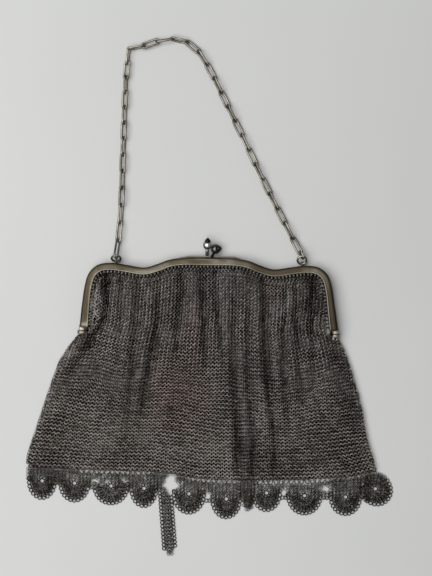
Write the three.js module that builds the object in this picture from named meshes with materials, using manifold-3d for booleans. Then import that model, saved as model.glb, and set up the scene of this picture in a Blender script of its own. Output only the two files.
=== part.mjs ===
// An antique ring-mesh purse lying on its back: a hinged frame of two arched halves closed by a pair
// of snap knobs, a carrying chain of long links, a hollow mesh bag gathered into folds, and a border
// of mesh scallops with one torn strip. Millimetres, +Z up from the table, +Y from bag to chain.
import * as THREE from "three";
import { mergeVertices } from "three/addons/utils/BufferGeometryUtils.js";
import Module from "manifold-3d";

const wasm = await Module();
wasm.setup();

// Driving dimensions. Plan positions are measured from the middle of the hinge line.
const GAP = 0.35; // between pieces that touch on the real purse
const FRAME_HALF_HEIGHT = 3.9; // one frame half, from its flat back to its rounded face
const FRAME_MIDDLE_Z = FRAME_HALF_HEIGHT + GAP / 2;
const FRAME_BAND = 4.2; // width of the frame seen from the front
const FRAME_BAND_AT_HINGE = 5.0;
const BAND_TAPER = 26; // height above the hinge line over which the legs narrow
const LEG_END_Y = 2.3;
const FRAME_STEPS = 36;
// The arch's centre line, from the middle of the top to the right hinge. The left half mirrors it.
const FRAME_LINE = [
  { x: 0, y: 40.9 },
  { x: 15.5, y: 40.7 },
  { x: 22.5, y: 39.6 },
  { x: 28.5, y: 37.3 },
  { x: 37, y: 34.9 },
  { x: 48, y: 36.3 },
  { x: 56.5, y: 37.3 },
  { x: 63, y: 36.3 },
  { x: 67.2, y: 32.5 },
  { x: 69.3, y: 26 },
  { x: 70.9, y: 15 },
  { x: 72.6, y: LEG_END_Y },
];
// One half's section as shares: across the band from its outer edge, and up from its flat back.
const FRAME_SECTION = [
  { across: -0.46, up: 0 },
  { across: 0.46, up: 0 },
  { across: 0.5, up: 0.13 },
  { across: 0.5, up: 0.78 },
  { across: 0.33, up: 1 },
  { across: -0.22, up: 1 },
  { across: -0.44, up: 0.82 },
  { across: -0.5, up: 0.2 },
];

const EYE_RADIUS = 1.75; // hinge eyes at the foot of each leg
const EYE_BORE = 0.95;
const EYE_LENGTH = 2.2;
const EYE_OUTER_X = 75.1;
const EYE_SIDES = 12;
const RIVET_RADIUS = EYE_BORE - GAP;
const RIVET_HEAD_RADIUS = 1.3;
const RIVET_HEAD_LENGTH = 0.7;

const RING_RADIUS = 2.6; // chain rings, to the middle of the wire
const RING_WIRE = 1.0;
const RING_X = 53.7;
const EYELET_RADIUS = 1.3; // the small loops on the back half that hold the chain rings
const EYELET_WIRE = 0.8;
const EYELET_Z = 2.1;
const RING_LEAN = { left: 50, right: 12 }; // degrees up from lying flat

const LINK_COUNT = 32;
const JOINING_PITCH = 3.2; // of the short link between the last long one and the right ring
const LINK_WIRE = 0.8;
const LINK_WIDTH = 3.3;
const LINK_SIDES = 10;
const WIRE_SIDES = 5;
const CHAIN_Z = 1.7; // height of the chain's middle where it lies on the table
// The chain's route on the table, from the left ring over the top to the right ring.
const CHAIN_ROUTE = [
  { x: -52.7, y: 52.5 },
  { x: -51.4, y: 71 },
  { x: -50.6, y: 110 },
  { x: -49.5, y: 150 },
  { x: -48.6, y: 159 },
  { x: -44.6, y: 164.4 },
  { x: -34, y: 166.9 },
  { x: -26.5, y: 169 },
  { x: -18.3, y: 169.2 },
  { x: -10.7, y: 165.5 },
  { x: -5.3, y: 159.1 },
  { x: 10.9, y: 128.4 },
  { x: 34.1, y: 81.7 },
  { x: 49.2, y: 53.2 },
];
// Degrees that the even links stand up from the table, along the chain. Odd links are square to them.
const LINK_ROLLS = [
  { link: 0, roll: 68 },
  { link: 7, roll: 56 },
  { link: 12, roll: 84 },
  { link: 17, roll: 62 },
  { link: 24, roll: 70 },
  { link: 31, roll: 66 },
];

const KNOB_RADIUS = 2.55;
const STEM_RADIUS = 0.85;
const STEM_SEAT = 1.2; // how far a stem reaches into its socket
const STONE_RADIUS = 1.75;
const STONE_HEIGHT = 2.5;
const STONE_SEAT = 2.1; // from the ball's middle to the foot of its stone
const KNOB_SIDES = 12;
// Each knob leans across the closed frame: its foot is on one half and its ball lies over the other.
const KNOBS = {
  back: { foot: { x: -1.3, y: 43.0, z: 2.2 }, ball: { x: -1.0, y: 50.4, z: 5.9 } },
  front: { foot: { x: 1.7, y: 43.0, z: 6.0 }, ball: { x: 4.7, y: 48.7, z: 2.9 } },
};
const CLASP_PLATE = { left: -16.9, right: 17.9, rise: 1.3, low: 0.9, high: 3.4, steps: 8 };

const WALL = 1.2; // the ring mesh, front and back
const BAG_COLUMNS = 56;
const BAG_AT_FRAME_Z = 6.6;
const BAG_AT_EDGE_Z = 2 * WALL + 0.5;
const SIDE_BULGE = 15; // distances over which the front rises from its edges
const TOP_BULGE = 9;
const EDGE_DROP = { from: 2, to: -14 }; // heights between which the side edges fall from frame to table
const FOLD_AT_FRAME = 0.25; // share of a fold's depth that is left at the frame
const MIDDLE_SHARE = 0.5; // where the folds' middle places are, down the bag's length
// The bag's sections from the frame's corners to the border: their height at the side edges, the
// left and right edges there, and how high the front stands between its folds.
const BAG_SECTIONS = [
  { y: 31.6, left: -65.2, right: 65.2, crown: 7.4 },
  { y: 24, left: -66.6, right: 66.6, crown: 8.2 },
  { y: 14, left: -68.0, right: 68.0, crown: 8.6 },
  { y: 4, left: -68.5, right: 68.5, crown: 8.6 },
  { y: -1.7, left: -68.6, right: 68.6, crown: 8.6 },
  { y: -2.5, left: -70.6, right: 70.4, crown: 8.6 },
  { y: -3.6, left: -76.4, right: 75.4, crown: 8.6 },
  { y: -9, left: -82, right: 78.4, crown: 8.5 },
  { y: -18, left: -86.6, right: 82, crown: 8.2 },
  { y: -30, left: -89.6, right: 85.8, crown: 7.2 },
  { y: -44, left: -94, right: 89.6, crown: 5.9 },
  { y: -60, left: -99, right: 92.6, crown: 4.9 },
  { y: -73, left: -103, right: 96.6, crown: 4.3 },
  { y: -80, left: -103.4, right: 98.8, crown: 3.8 },
];
// The bag's lower edge, by share of its width from the left.
const BAG_FOOT = [
  { share: 0, y: -79.5 },
  { share: 0.2, y: -80.6 },
  { share: 0.36, y: -81 },
  { share: 0.41, y: -82 },
  { share: 0.5, y: -84.8 },
  { share: 0.62, y: -85.4 },
  { share: 0.78, y: -84.4 },
  { share: 0.92, y: -82.6 },
  { share: 1, y: -79 },
];
// Folds of the front: their place by share of the width, and their depth, at the frame, in the middle
// of the bag's length and at the border, and their half width. A negative depth stands up.
const FOLDS = [
  { top: 0.07, mid: 0.05, low: 0.05, topDepth: 1.5, midDepth: 0.9, lowDepth: 0, half: 2.6 },
  { top: 0.15, mid: 0.13, low: 0.12, topDepth: 0.8, midDepth: 0.3, lowDepth: 0, half: 2.8 },
  { top: 0.22, mid: 0.2, low: 0.2, topDepth: 0.8, midDepth: 0.5, lowDepth: 0, half: 3 },
  { top: 0.385, mid: 0.31, low: 0.3, topDepth: 1.1, midDepth: 1.3, lowDepth: 0.2, half: 3.2 },
  { top: 0.45, mid: 0.42, low: 0.418, topDepth: 0, midDepth: 0, lowDepth: 1.2, half: 3 },
  { top: 0.52, mid: 0.575, low: 0.621, topDepth: 1.2, midDepth: 1.2, lowDepth: 1.7, half: 2.9 },
  { top: 0.61, mid: 0.617, low: 0.64, topDepth: 1.1, midDepth: 0.5, lowDepth: -0.9, half: 2.8 },
  { top: 0.67, mid: 0.663, low: 0.66, topDepth: 0.5, midDepth: 1.1, lowDepth: 1.1, half: 2.9 },
  { top: 0.75, mid: 0.715, low: 0.7, topDepth: 1.3, midDepth: 1.2, lowDepth: 0, half: 3.2 },
  { top: 0.855, mid: 0.82, low: 0.8, topDepth: 1.1, midDepth: 0.4, lowDepth: 0, half: 3 },
  { top: 0.94, mid: 0.92, low: 0.92, topDepth: 1.0, midDepth: 0.2, lowDepth: 0, half: 2.8 },
];

const BORDER_THICKNESS = 1.4;
const SCALLOP_SIDES = 7; // in each quarter
// Scallops from left to right: the middle of the upper edge, half the width, the drop, and the turn.
const SCALLOPS = [
  { x: -95, y: -89.4, half: 8.5, drop: 9.3, turn: 0 },
  { x: -76.2, y: -89.9, half: 9.2, drop: 10, turn: 0 },
  { x: -55.5, y: -91.9, half: 10.8, drop: 9.3, turn: 0 },
  { x: -35.9, y: -92.2, half: 8.1, drop: 10.3, turn: 0 },
  { x: -8.1, y: -94.4, half: 9.4, drop: 11.5, turn: 0 },
  { x: 11.6, y: -96.7, half: 9, drop: 11.6, turn: 0 },
  { x: 24.3, y: -95.6, half: 2.6, drop: 6, turn: 0 },
  { x: 36, y: -93.2, half: 8.2, drop: 10.6, turn: 0 },
  { x: 57.4, y: -94.1, half: 10.5, drop: 11.3, turn: 0 },
  { x: 81.5, y: -94.8, half: 9.6, drop: 10.6, turn: 0 },
  { x: 96, y: -86.5, half: 10, drop: 12.6, turn: 64 },
];
// The band under the bag on each side of the tear: its scallops, its ends, and how far its right end
// leans out towards the bag.
const LEFT_BAND = { scallops: [0, 1, 2, 3], left: -103.2, right: -25.4, lean: 0 };
const RIGHT_BAND = { scallops: [4, 5, 6, 7, 8, 9], left: -15.2, right: 91.5, lean: 6.6 };
const STRIP = [
  { x: -27.1, y: -94.2 },
  { x: -24.4, y: -123.6 },
  { x: -19.7, y: -129.4 },
  { x: -18.3, y: -125.6 },
  { x: -16.4, y: -124 },
  { x: -15.3, y: -119 },
  { x: -18.0, y: -97.6 },
  { x: -19.4, y: -94.2 },
];

const SILVER = { color: 0x6b6558, roughness: 0.38, metalness: 1 };
const CHAIN_SILVER = { color: 0x8a8676, roughness: 0.34, metalness: 1 };
const BRIGHT_SILVER = { color: 0xb9b5a8, roughness: 0.25, metalness: 1 };
const DARK_MESH = { color: 0x4a4340, roughness: 0.45, metalness: 1 };
const BLACK_GLASS = { color: 0x070707, roughness: 0.12, metalness: 0 };

const point = (p) => new THREE.Vector3(p.x, p.y, p.z ?? 0);
const lerp = THREE.MathUtils.lerp;
const radians = THREE.MathUtils.degToRad;

// Solids: three.js makes the shapes, and these join and cut them.
function toSolid(geometry) {
  const bare = geometry.clone().deleteAttribute("normal").deleteAttribute("uv");
  const merged = mergeVertices(bare, 1e-4);
  return new wasm.Manifold(
    new wasm.Mesh({
      numProp: 3,
      vertProperties: merged.attributes.position.array,
      triVerts: new Uint32Array(merged.index.array),
    }),
  );
}

function toGeometry(solid) {
  const made = solid.getMesh();
  const geometry = new THREE.BufferGeometry();
  geometry.setAttribute("position", new THREE.BufferAttribute(made.vertProperties, 3));
  geometry.setIndex(new THREE.BufferAttribute(made.triVerts, 1));
  return geometry;
}

// A geometry from rings of points that are joined one to the next, with both ends closed.
function loft(rings) {
  const sides = rings[0].length;
  const index = [];
  for (let i = 0; i + 1 < rings.length; i++) {
    for (let j = 0; j < sides; j++) {
      const a = i * sides + j;
      const b = i * sides + ((j + 1) % sides);
      index.push(a, b + sides, b, a, a + sides, b + sides);
    }
  }
  const last = (rings.length - 1) * sides;
  for (let j = 1; j + 1 < sides; j++) {
    index.push(0, j, j + 1, last, last + j + 1, last + j);
  }
  const geometry = new THREE.BufferGeometry().setFromPoints(rings.flat());
  return geometry.setIndex(index);
}

// A sheet with thickness: each (row, column) gives a point of its plan and the heights of its faces.
function sheet(rows, columns, at) {
  const upper = [];
  const lower = [];
  for (let i = 0; i <= rows; i++) {
    for (let j = 0; j <= columns; j++) {
      const p = at(i, j);
      upper.push(new THREE.Vector3(p.x, p.y, p.high));
      lower.push(new THREE.Vector3(p.x, p.y, p.low));
    }
  }
  const index = [];
  const wide = columns + 1;
  const under = upper.length;
  for (let i = 0; i < rows; i++) {
    for (let j = 0; j < columns; j++) {
      const a = i * wide + j;
      const c = a + wide;
      index.push(a, c, c + 1, a, c + 1, a + 1);
      index.push(under + a, under + c + 1, under + c, under + a, under + a + 1, under + c + 1);
    }
  }
  const wall = (a, b) => index.push(b, a, under + a, b, under + a, under + b);
  for (let j = 0; j < columns; j++) {
    wall(j + 1, j);
    wall(rows * wide + j, rows * wide + j + 1);
  }
  for (let i = 0; i < rows; i++) {
    wall(i * wide, (i + 1) * wide);
    wall((i + 1) * wide + columns, i * wide + columns);
  }
  const geometry = new THREE.BufferGeometry().setFromPoints([...upper, ...lower]);
  return geometry.setIndex(index);
}

// A value read from a table between the two rows that hold the key.
function tableValue(table, key, at, column) {
  const next = Math.max(1, table.findIndex((row) => row[key] >= at));
  const after = at > table[table.length - 1][key] ? table.length - 1 : next;
  const before = table[after - 1];
  const share = (at - before[key]) / (table[after][key] - before[key]);
  return lerp(before[column], table[after][column], THREE.MathUtils.clamp(share, 0, 1));
}

function named(name, geometry, finish) {
  const mesh = new THREE.Mesh(geometry, new THREE.MeshStandardMaterial(finish));
  mesh.name = name;
  return mesh;
}

// Turns a shape made along +Y to lie along a line, and puts its origin at the line's start.
function stand(geometry, start, direction) {
  const turn = new THREE.Quaternion().setFromUnitVectors(
    new THREE.Vector3(0, 1, 0),
    direction.clone().normalize(),
  );
  return geometry.applyQuaternion(turn).translate(start.x, start.y, start.z);
}

// The frame: both halves follow one arch.
function framePath() {
  const right = FRAME_LINE.map(point);
  const left = FRAME_LINE.slice(1).map((p) => point({ x: -p.x, y: p.y }));
  return new THREE.CatmullRomCurve3([...left.reverse(), ...right], false, "centripetal");
}

const path = framePath();

function bandWidth(y) {
  return lerp(FRAME_BAND_AT_HINGE, FRAME_BAND, THREE.MathUtils.smoothstep(y, 0, BAND_TAPER));
}

// A point of the arch, moved towards the inside of the bag by a share of the band's width.
function framePoint(share, across, extra = 0) {
  const middle = path.getPointAt(share);
  const along = path.getTangentAt(share);
  const inward = new THREE.Vector3(along.y, -along.x, 0);
  return middle.addScaledVector(inward, across * bandWidth(middle.y) + extra);
}

// One edge of the arch, from the left hinge to the right.
function edgeLine(across, extra) {
  const steps = 4 * FRAME_STEPS;
  return Array.from({ length: steps + 1 }, (_, i) => framePoint(i / steps, across, extra));
}

const OUTER_LINE = edgeLine(-0.5, 0);
const MOUTH_LINE = edgeLine(0.5, GAP);

function frameBar(height) {
  const rings = [];
  for (let i = 0; i <= FRAME_STEPS; i++) {
    rings.push(
      FRAME_SECTION.map((s) => framePoint(i / FRAME_STEPS, s.across).setZ(height(s.up))),
    );
  }
  return rings;
}

// A hinge eye with its neck up to the leg, on the side of the frame that the neck height gives.
function hingeEye(outerX, side, neckZ) {
  const middleX = side * (outerX - EYE_LENGTH / 2);
  const barrel = new THREE.CylinderGeometry(EYE_RADIUS, EYE_RADIUS, EYE_LENGTH, EYE_SIDES);
  barrel.rotateZ(Math.PI / 2).translate(middleX, 0, FRAME_MIDDLE_Z);
  const neckHeight = EYE_RADIUS - GAP / 2;
  const neck = new THREE.BoxGeometry(EYE_LENGTH, LEG_END_Y + 1, neckHeight);
  neck.translate(middleX, (LEG_END_Y + 1) / 2, neckZ);
  return toSolid(barrel).add(toSolid(neck));
}

function hingeBore(side) {
  const bore = new THREE.CylinderGeometry(EYE_BORE, EYE_BORE, 6 * EYE_LENGTH, EYE_SIDES);
  return toSolid(bore.rotateZ(Math.PI / 2).translate(side * EYE_OUTER_X, 0, FRAME_MIDDLE_Z));
}

function knobSocket(knob) {
  const foot = point(knob.foot);
  const lean = point(knob.ball).sub(foot).normalize();
  const reach = 2 * STEM_SEAT;
  const drill = new THREE.CylinderGeometry(STEM_RADIUS + GAP, STEM_RADIUS + GAP, 2 * reach, KNOB_SIDES);
  return toSolid(stand(drill, foot.addScaledVector(lean, GAP), lean));
}

function withHinges(bar, outerX, neckOffset) {
  let solid = bar;
  for (const side of [-1, 1]) {
    const neckZ = FRAME_MIDDLE_Z + neckOffset * (GAP / 2 + (EYE_RADIUS - GAP / 2) / 2);
    solid = solid.add(hingeEye(outerX, side, neckZ)).subtract(hingeBore(side));
  }
  return solid;
}

function frameFront() {
  const rings = frameBar((up) => FRAME_HALF_HEIGHT + GAP + up * FRAME_HALF_HEIGHT);
  const bar = withHinges(toSolid(loft(rings)), EYE_OUTER_X, 1);
  return toGeometry(bar.subtract(knobSocket(KNOBS.front)));
}

function eyelet(side) {
  const loop = new THREE.TorusGeometry(EYELET_RADIUS, EYELET_WIRE / 2, WIRE_SIDES, LINK_SIDES);
  const seat = eyeletPoint(side);
  return toSolid(loop.rotateY(Math.PI / 2).translate(seat.x, seat.y, seat.z));
}

// The middle of an eyelet, where the foot of a chain ring passes through it.
function eyeletPoint(side) {
  const x = side * RING_X;
  const near = OUTER_LINE.filter((p) => Math.abs(p.x - x) < RING_RADIUS);
  const edge = Math.max(...near.map((p) => p.y));
  return new THREE.Vector3(x, edge + RING_WIRE / 2 + GAP, EYELET_Z);
}

function frameBack() {
  const rings = frameBar((up) => FRAME_HALF_HEIGHT * (1 - up)).map((ring) => ring.reverse());
  let solid = withHinges(toSolid(loft(rings)), EYE_OUTER_X - EYE_LENGTH - GAP, -1);
  for (const side of [-1, 1]) solid = solid.add(eyelet(side));
  return toGeometry(solid.subtract(knobSocket(KNOBS.back)));
}

function hingeRivet(side) {
  const inner = EYE_OUTER_X - 2 * EYE_LENGTH - 2 * GAP;
  const outer = EYE_OUTER_X + GAP;
  const profile = [
    { x: 0, y: inner - RIVET_HEAD_LENGTH },
    { x: RIVET_HEAD_RADIUS * 0.8, y: inner - RIVET_HEAD_LENGTH },
    { x: RIVET_HEAD_RADIUS, y: inner },
    { x: RIVET_RADIUS, y: inner },
    { x: RIVET_RADIUS, y: outer },
    { x: RIVET_HEAD_RADIUS, y: outer },
    { x: RIVET_HEAD_RADIUS * 0.8, y: outer + RIVET_HEAD_LENGTH },
    { x: 0, y: outer + RIVET_HEAD_LENGTH },
  ];
  const pin = new THREE.LatheGeometry(profile.map((p) => new THREE.Vector2(p.x, p.y)), EYE_SIDES);
  return pin.rotateZ((-side * Math.PI) / 2).translate(0, 0, FRAME_MIDDLE_Z);
}

// The clasp: two balls on stems, each with a stone at its tip, and the plate behind them.
function arcProfile(radius, middle, from, to, steps) {
  return Array.from({ length: steps + 1 }, (_, i) => {
    const angle = lerp(from, to, i / steps);
    return new THREE.Vector2(radius * Math.cos(angle), middle + radius * Math.sin(angle));
  });
}

function knobAxis(knob) {
  return point(knob.ball).sub(point(knob.foot));
}

function claspKnob(knob) {
  const reach = knobAxis(knob).length();
  const neck = -Math.acos(STEM_RADIUS / KNOB_RADIUS);
  const flat = STONE_SEAT - GAP;
  const tip = Math.asin(flat / KNOB_RADIUS);
  const profile = [
    new THREE.Vector2(0, -STEM_SEAT),
    new THREE.Vector2(STEM_RADIUS, -STEM_SEAT),
    ...arcProfile(KNOB_RADIUS, reach, neck, tip, 5),
    new THREE.Vector2(0, reach + flat),
  ];
  return stand(new THREE.LatheGeometry(profile, KNOB_SIDES), point(knob.foot), knobAxis(knob));
}

function claspStone(knob) {
  const reach = knobAxis(knob).length();
  const steps = 4;
  const profile = [new THREE.Vector2(0, 0)];
  for (let i = 0; i <= steps; i++) {
    const angle = (i / steps) * (Math.PI / 2);
    const radius = i === steps ? 0 : STONE_RADIUS * Math.cos(angle);
    profile.push(new THREE.Vector2(radius, STONE_HEIGHT * Math.sin(angle)));
  }
  const stone = new THREE.LatheGeometry(profile, KNOB_SIDES).translate(0, reach + STONE_SEAT, 0);
  return stand(stone, point(knob.foot), knobAxis(knob));
}

// A strip along the top of the back half, cut clear of the back knob's stem.
function claspPlate() {
  const { left, right, rise, low, high, steps } = CLASP_PLATE;
  const strip = sheet(steps, 1, (i, j) => {
    const x = lerp(left, right, i / steps);
    return { x, y: tableValue(OUTER_LINE, "x", x, "y") + GAP + j * rise, high, low };
  });
  return toGeometry(toSolid(strip).subtract(knobSocket(KNOBS.back)));
}

// The chain.
function chainRing(side) {
  const lean = radians(side < 0 ? RING_LEAN.left : RING_LEAN.right);
  const ring = new THREE.TorusGeometry(RING_RADIUS, RING_WIRE / 2, WIRE_SIDES, LINK_SIDES + 4);
  const seat = eyeletPoint(side);
  return ring.translate(0, RING_RADIUS, 0).rotateX(lean).translate(seat.x, seat.y, seat.z);
}

// The place inside a chain ring's far side where an end link turns round its wire.
function ringJoint(side, next) {
  const lean = radians(side < 0 ? RING_LEAN.left : RING_LEAN.right);
  const across = new THREE.Vector3(0, Math.cos(lean), Math.sin(lean));
  const wire = eyeletPoint(side).addScaledVector(across, 2 * RING_RADIUS);
  const away = next.clone().sub(wire).normalize();
  return wire.addScaledVector(away, -(RING_WIRE + GAP) / 2);
}

function chainJoints() {
  const route = CHAIN_ROUTE.map((p) => point({ ...p, z: CHAIN_Z }));
  const last = route[route.length - 1];
  const ends = [ringJoint(-1, route[0]), ringJoint(1, last)];
  const joining = last.clone().sub(ends[1]).setLength(JOINING_PITCH).add(ends[1]);
  const curve = new THREE.CatmullRomCurve3([ends[0], ...route, joining], false, "centripetal");
  const joints = [...curve.getSpacedPoints(LINK_COUNT), ends[1]];
  return joints.map((joint) => joint.setZ(Math.max(joint.z, CHAIN_Z)));
}

// A long link: a ring of wire whose two halves are pulled apart.
function chainLink(start, end, roll) {
  const bow = (LINK_WIDTH - LINK_WIRE) / 2;
  const pitch = start.distanceTo(end);
  const straight = pitch + LINK_WIRE + GAP - 2 * bow;
  const link = new THREE.TorusGeometry(bow, LINK_WIRE / 2, WIRE_SIDES, LINK_SIDES);
  const places = link.attributes.position;
  for (let i = 0; i < places.count; i++) {
    places.setX(i, places.getX(i) + (Math.sign(places.getX(i)) * straight) / 2);
  }
  const along = end.clone().sub(start).normalize();
  const level = new THREE.Vector3(-along.y, along.x, 0).normalize();
  const frame = new THREE.Matrix4().makeBasis(along, level, along.clone().cross(level));
  const middle = start.clone().lerp(end, 0.5);
  return link.rotateX(roll).applyMatrix4(frame).translate(middle.x, middle.y, middle.z);
}

function addChain(group) {
  const joints = chainJoints();
  for (let k = 0; k <= LINK_COUNT; k++) {
    const roll = tableValue(LINK_ROLLS, "link", k, "roll") + (k % 2 ? 90 : 0);
    const number = String(k + 1).padStart(2, "0");
    const link = chainLink(joints[k], joints[k + 1], radians(roll));
    const name = k < LINK_COUNT ? `chain_link_${number}` : "joining_link";
    group.add(named(name, link, CHAIN_SILVER));
  }
  group.add(named("chain_ring_left", chainRing(-1), CHAIN_SILVER));
  group.add(named("chain_ring_right", chainRing(1), CHAIN_SILVER));
}

// The bag. Its upper edge lies along the inside of the frame between the arch's two corners.
const CORNER = BAG_SECTIONS[0];

// A place on the bag: its row among the sections and its share of the width from the left.
function bagPlace(row, share) {
  const section = BAG_SECTIONS[row];
  const foot = tableValue(BAG_FOOT, "share", share, "y");
  const mouth = tableValue(MOUTH_LINE, "x", lerp(CORNER.left, CORNER.right, share), "y");
  const lastY = BAG_SECTIONS[BAG_SECTIONS.length - 1].y;
  const down = (CORNER.y - section.y) / (CORNER.y - lastY);
  return {
    x: lerp(section.left, section.right, share),
    y: lerp(mouth, foot, down),
    down,
    section,
    mouth,
  };
}

function foldDepth(place, share) {
  const width = place.section.right - place.section.left;
  const middle = Math.min(1, place.down / MIDDLE_SHARE);
  const lower = Math.max(0, place.down - MIDDLE_SHARE) / (1 - MIDDLE_SHARE);
  return FOLDS.reduce((sum, fold) => {
    const at = lerp(lerp(fold.top, fold.mid, middle), fold.low, lower);
    const depth = lerp(lerp(fold.topDepth, fold.midDepth, middle), fold.lowDepth, lower);
    const off = ((share - at) * width) / fold.half;
    return sum + depth * Math.exp(-off * off);
  }, 0);
}

function frontHeight(row, share) {
  const place = bagPlace(row, share);
  const { section } = place;
  const width = section.right - section.left;
  const fromSide = Math.min(share, 1 - share) * width;
  const side = THREE.MathUtils.smoothstep(fromSide, 0, SIDE_BULGE);
  const top = THREE.MathUtils.smoothstep(place.mouth - place.y, 0, TOP_BULGE);
  const hang = THREE.MathUtils.smoothstep(section.y, EDGE_DROP.to, EDGE_DROP.from);
  const edge = lerp(BAG_AT_EDGE_Z, BAG_AT_FRAME_Z, hang);
  const swell = side * top;
  const folded = Math.min(1, swell + FOLD_AT_FRAME * hang);
  return lerp(edge, section.crown, swell) - foldDepth(place, share) * folded;
}

// The bag is one closed surface: the front's outer and inner faces, the back's flat base and lining,
// the seams that link front and back below the hinges, and the rims along the frame.
class BagSkin {
  points = [];
  index = [];
  known = new Map();

  corner(face, [row, column]) {
    const key = `${face} ${row} ${column}`;
    if (!this.known.has(key)) {
      const share = column / BAG_COLUMNS;
      const { x, y } = bagPlace(row, share);
      const front = frontHeight(row, share);
      const z = { outer: front, inner: front - WALL, lining: WALL, base: 0 }[face];
      this.known.set(key, this.points.push(new THREE.Vector3(x, y, z)) - 1);
    }
    return this.known.get(key);
  }

  polygon(corners) {
    const ids = corners.map(([face, place]) => this.corner(face, place));
    for (let n = 1; n + 1 < ids.length; n++) this.index.push(ids[0], ids[n], ids[n + 1]);
  }

  // A wall between two faces along a line of grid places.
  wall(high, low, line) {
    for (let n = 0; n + 1 < line.length; n++) {
      const [a, b] = [line[n], line[n + 1]];
      this.polygon([[high, a], [high, b], [low, b], [low, a]]);
    }
  }

  // A flat face between two rows, whose sides follow the grid's columns, facing up or down.
  flat(face, [top, bottom], [left, right], up) {
    const facing = ([apex, ...rest]) => {
      const places = [apex, ...(up ? rest : rest.reverse())];
      this.polygon(places.map((place) => [face, place]));
    };
    facing([[top, left + 1], ...gridLine([top, left], [bottom, left]), [bottom, left + 1]]);
    for (let j = left + 1; j < right - 1; j++) {
      facing([[top, j], [bottom, j], [bottom, j + 1], [top, j + 1]]);
    }
    facing([[top, right - 1], [bottom, right - 1], ...gridLine([bottom, right], [top, right])]);
  }

  geometry() {
    return new THREE.BufferGeometry().setFromPoints(this.points).setIndex(this.index);
  }
}

// Grid places from one to another along a row or a column, both ends included.
function gridLine([row, column], [lastRow, lastColumn]) {
  const steps = Math.max(Math.abs(lastRow - row), Math.abs(lastColumn - column));
  return Array.from({ length: steps + 1 }, (_, n) => {
    const share = n / steps;
    return [Math.round(lerp(row, lastRow, share)), Math.round(lerp(column, lastColumn, share))];
  });
}

function gridRoute(stops) {
  const legs = stops.slice(1).map((stop, n) => gridLine(stops[n], stop).slice(1));
  return [stops[0], ...legs.flat()];
}

function meshBag() {
  const rows = BAG_SECTIONS.length - 1;
  const columns = BAG_COLUMNS;
  const seam = BAG_SECTIONS.findIndex((section) => section.y < -3);
  const skin = new BagSkin();
  for (let i = 0; i < rows; i++) {
    for (let j = 0; j < columns; j++) {
      const cell = [[i, j], [i + 1, j], [i + 1, j + 1], [i, j + 1]];
      skin.polygon(cell.map((place) => ["outer", place]));
      const hollow = i < seam || (i < rows - 1 && j > 0 && j < columns - 1);
      if (hollow) skin.polygon(cell.reverse().map((place) => ["inner", place]));
    }
  }
  const start = [seam, 0];
  const end = [seam, columns];
  const mouth = gridRoute([start, [0, 0], [0, columns], end]);
  const outside = gridRoute([end, [rows, columns], [rows, 0], start]);
  const inside = gridRoute([
    end,
    [seam, columns - 1],
    [rows - 1, columns - 1],
    [rows - 1, 1],
    [seam, 1],
    start,
  ]);
  skin.wall("outer", "inner", mouth);
  skin.wall("lining", "base", mouth);
  skin.wall("lining", "inner", inside);
  skin.wall("outer", "base", outside.slice(1, -1));
  const [first, last] = [outside[1], outside[outside.length - 2]];
  skin.polygon([
    ["outer", first],
    ["base", first],
    ["base", end],
    ["lining", end],
    ["inner", end],
    ["outer", end],
  ]);
  skin.polygon([
    ["outer", last],
    ["outer", start],
    ["inner", start],
    ["lining", start],
    ["base", start],
    ["base", last],
  ]);
  for (const band of [[0, seam - 2], [seam - 2, seam - 1], [seam - 1, seam]]) {
    skin.flat("base", band, [0, columns], false);
    skin.flat("lining", band, [0, columns], true);
  }
  skin.flat("base", [seam, rows], [0, columns], false);
  skin.flat("lining", [seam, rows - 1], [1, columns - 1], true);
  return skin.geometry();
}

// The border: bands of mesh under the bag, half-round scallops, and the strip that is torn loose.
function bandStations({ scallops, left, right }) {
  const stations = scallops.flatMap((n) => {
    const { x, y, half } = SCALLOPS[n];
    return [
      { x: x - half, y },
      { x: x + half, y },
    ];
  });
  const first = { x: left, y: stations[0].y };
  const last = { x: right, y: stations[stations.length - 1].y };
  return [first, ...stations, last];
}

function borderBand(band) {
  const foot = BAG_SECTIONS[BAG_SECTIONS.length - 1];
  const stations = bandStations(band);
  const corners = BAG_FOOT.map((f) => lerp(foot.left, foot.right, f.share));
  const inside = corners.filter((x) => x > band.left && x < band.right);
  const places = [...stations.map((s) => s.x), ...inside].sort((a, b) => a - b);
  const last = places.length - 1;
  return sheet(1, last, (i, j) => {
    const lower = { x: places[j], y: tableValue(stations, "x", places[j], "y") + GAP };
    const x = places[j] + (j === last ? band.lean : 0);
    const share = (x - foot.left) / (foot.right - foot.left);
    const upper = { x, y: tableValue(BAG_FOOT, "share", share, "y") - GAP };
    return { ...(i === 0 ? upper : lower), high: BORDER_THICKNESS, low: 0 };
  });
}

function scallop({ x, y, half, drop, turn }) {
  const outline = new THREE.Shape();
  outline.absellipse(0, 0, half, drop, Math.PI, 2 * Math.PI);
  outline.closePath();
  const disc = new THREE.ExtrudeGeometry(outline, {
    depth: BORDER_THICKNESS,
    bevelEnabled: false,
    curveSegments: SCALLOP_SIDES,
  });
  return disc.rotateZ(radians(turn)).translate(x, y, 0);
}

function tornStrip() {
  const outline = new THREE.Shape(STRIP.map((p) => new THREE.Vector2(p.x, p.y)));
  return new THREE.ExtrudeGeometry(outline, { depth: BORDER_THICKNESS, bevelEnabled: false });
}

function addBorder(group) {
  group.add(named("border_band_left", borderBand(LEFT_BAND), DARK_MESH));
  group.add(named("border_band_right", borderBand(RIGHT_BAND), DARK_MESH));
  SCALLOPS.forEach((s, n) => {
    group.add(named(`scallop_${String(n + 1).padStart(2, "0")}`, scallop(s), DARK_MESH));
  });
  group.add(named("torn_strip", tornStrip(), DARK_MESH));
}

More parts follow.
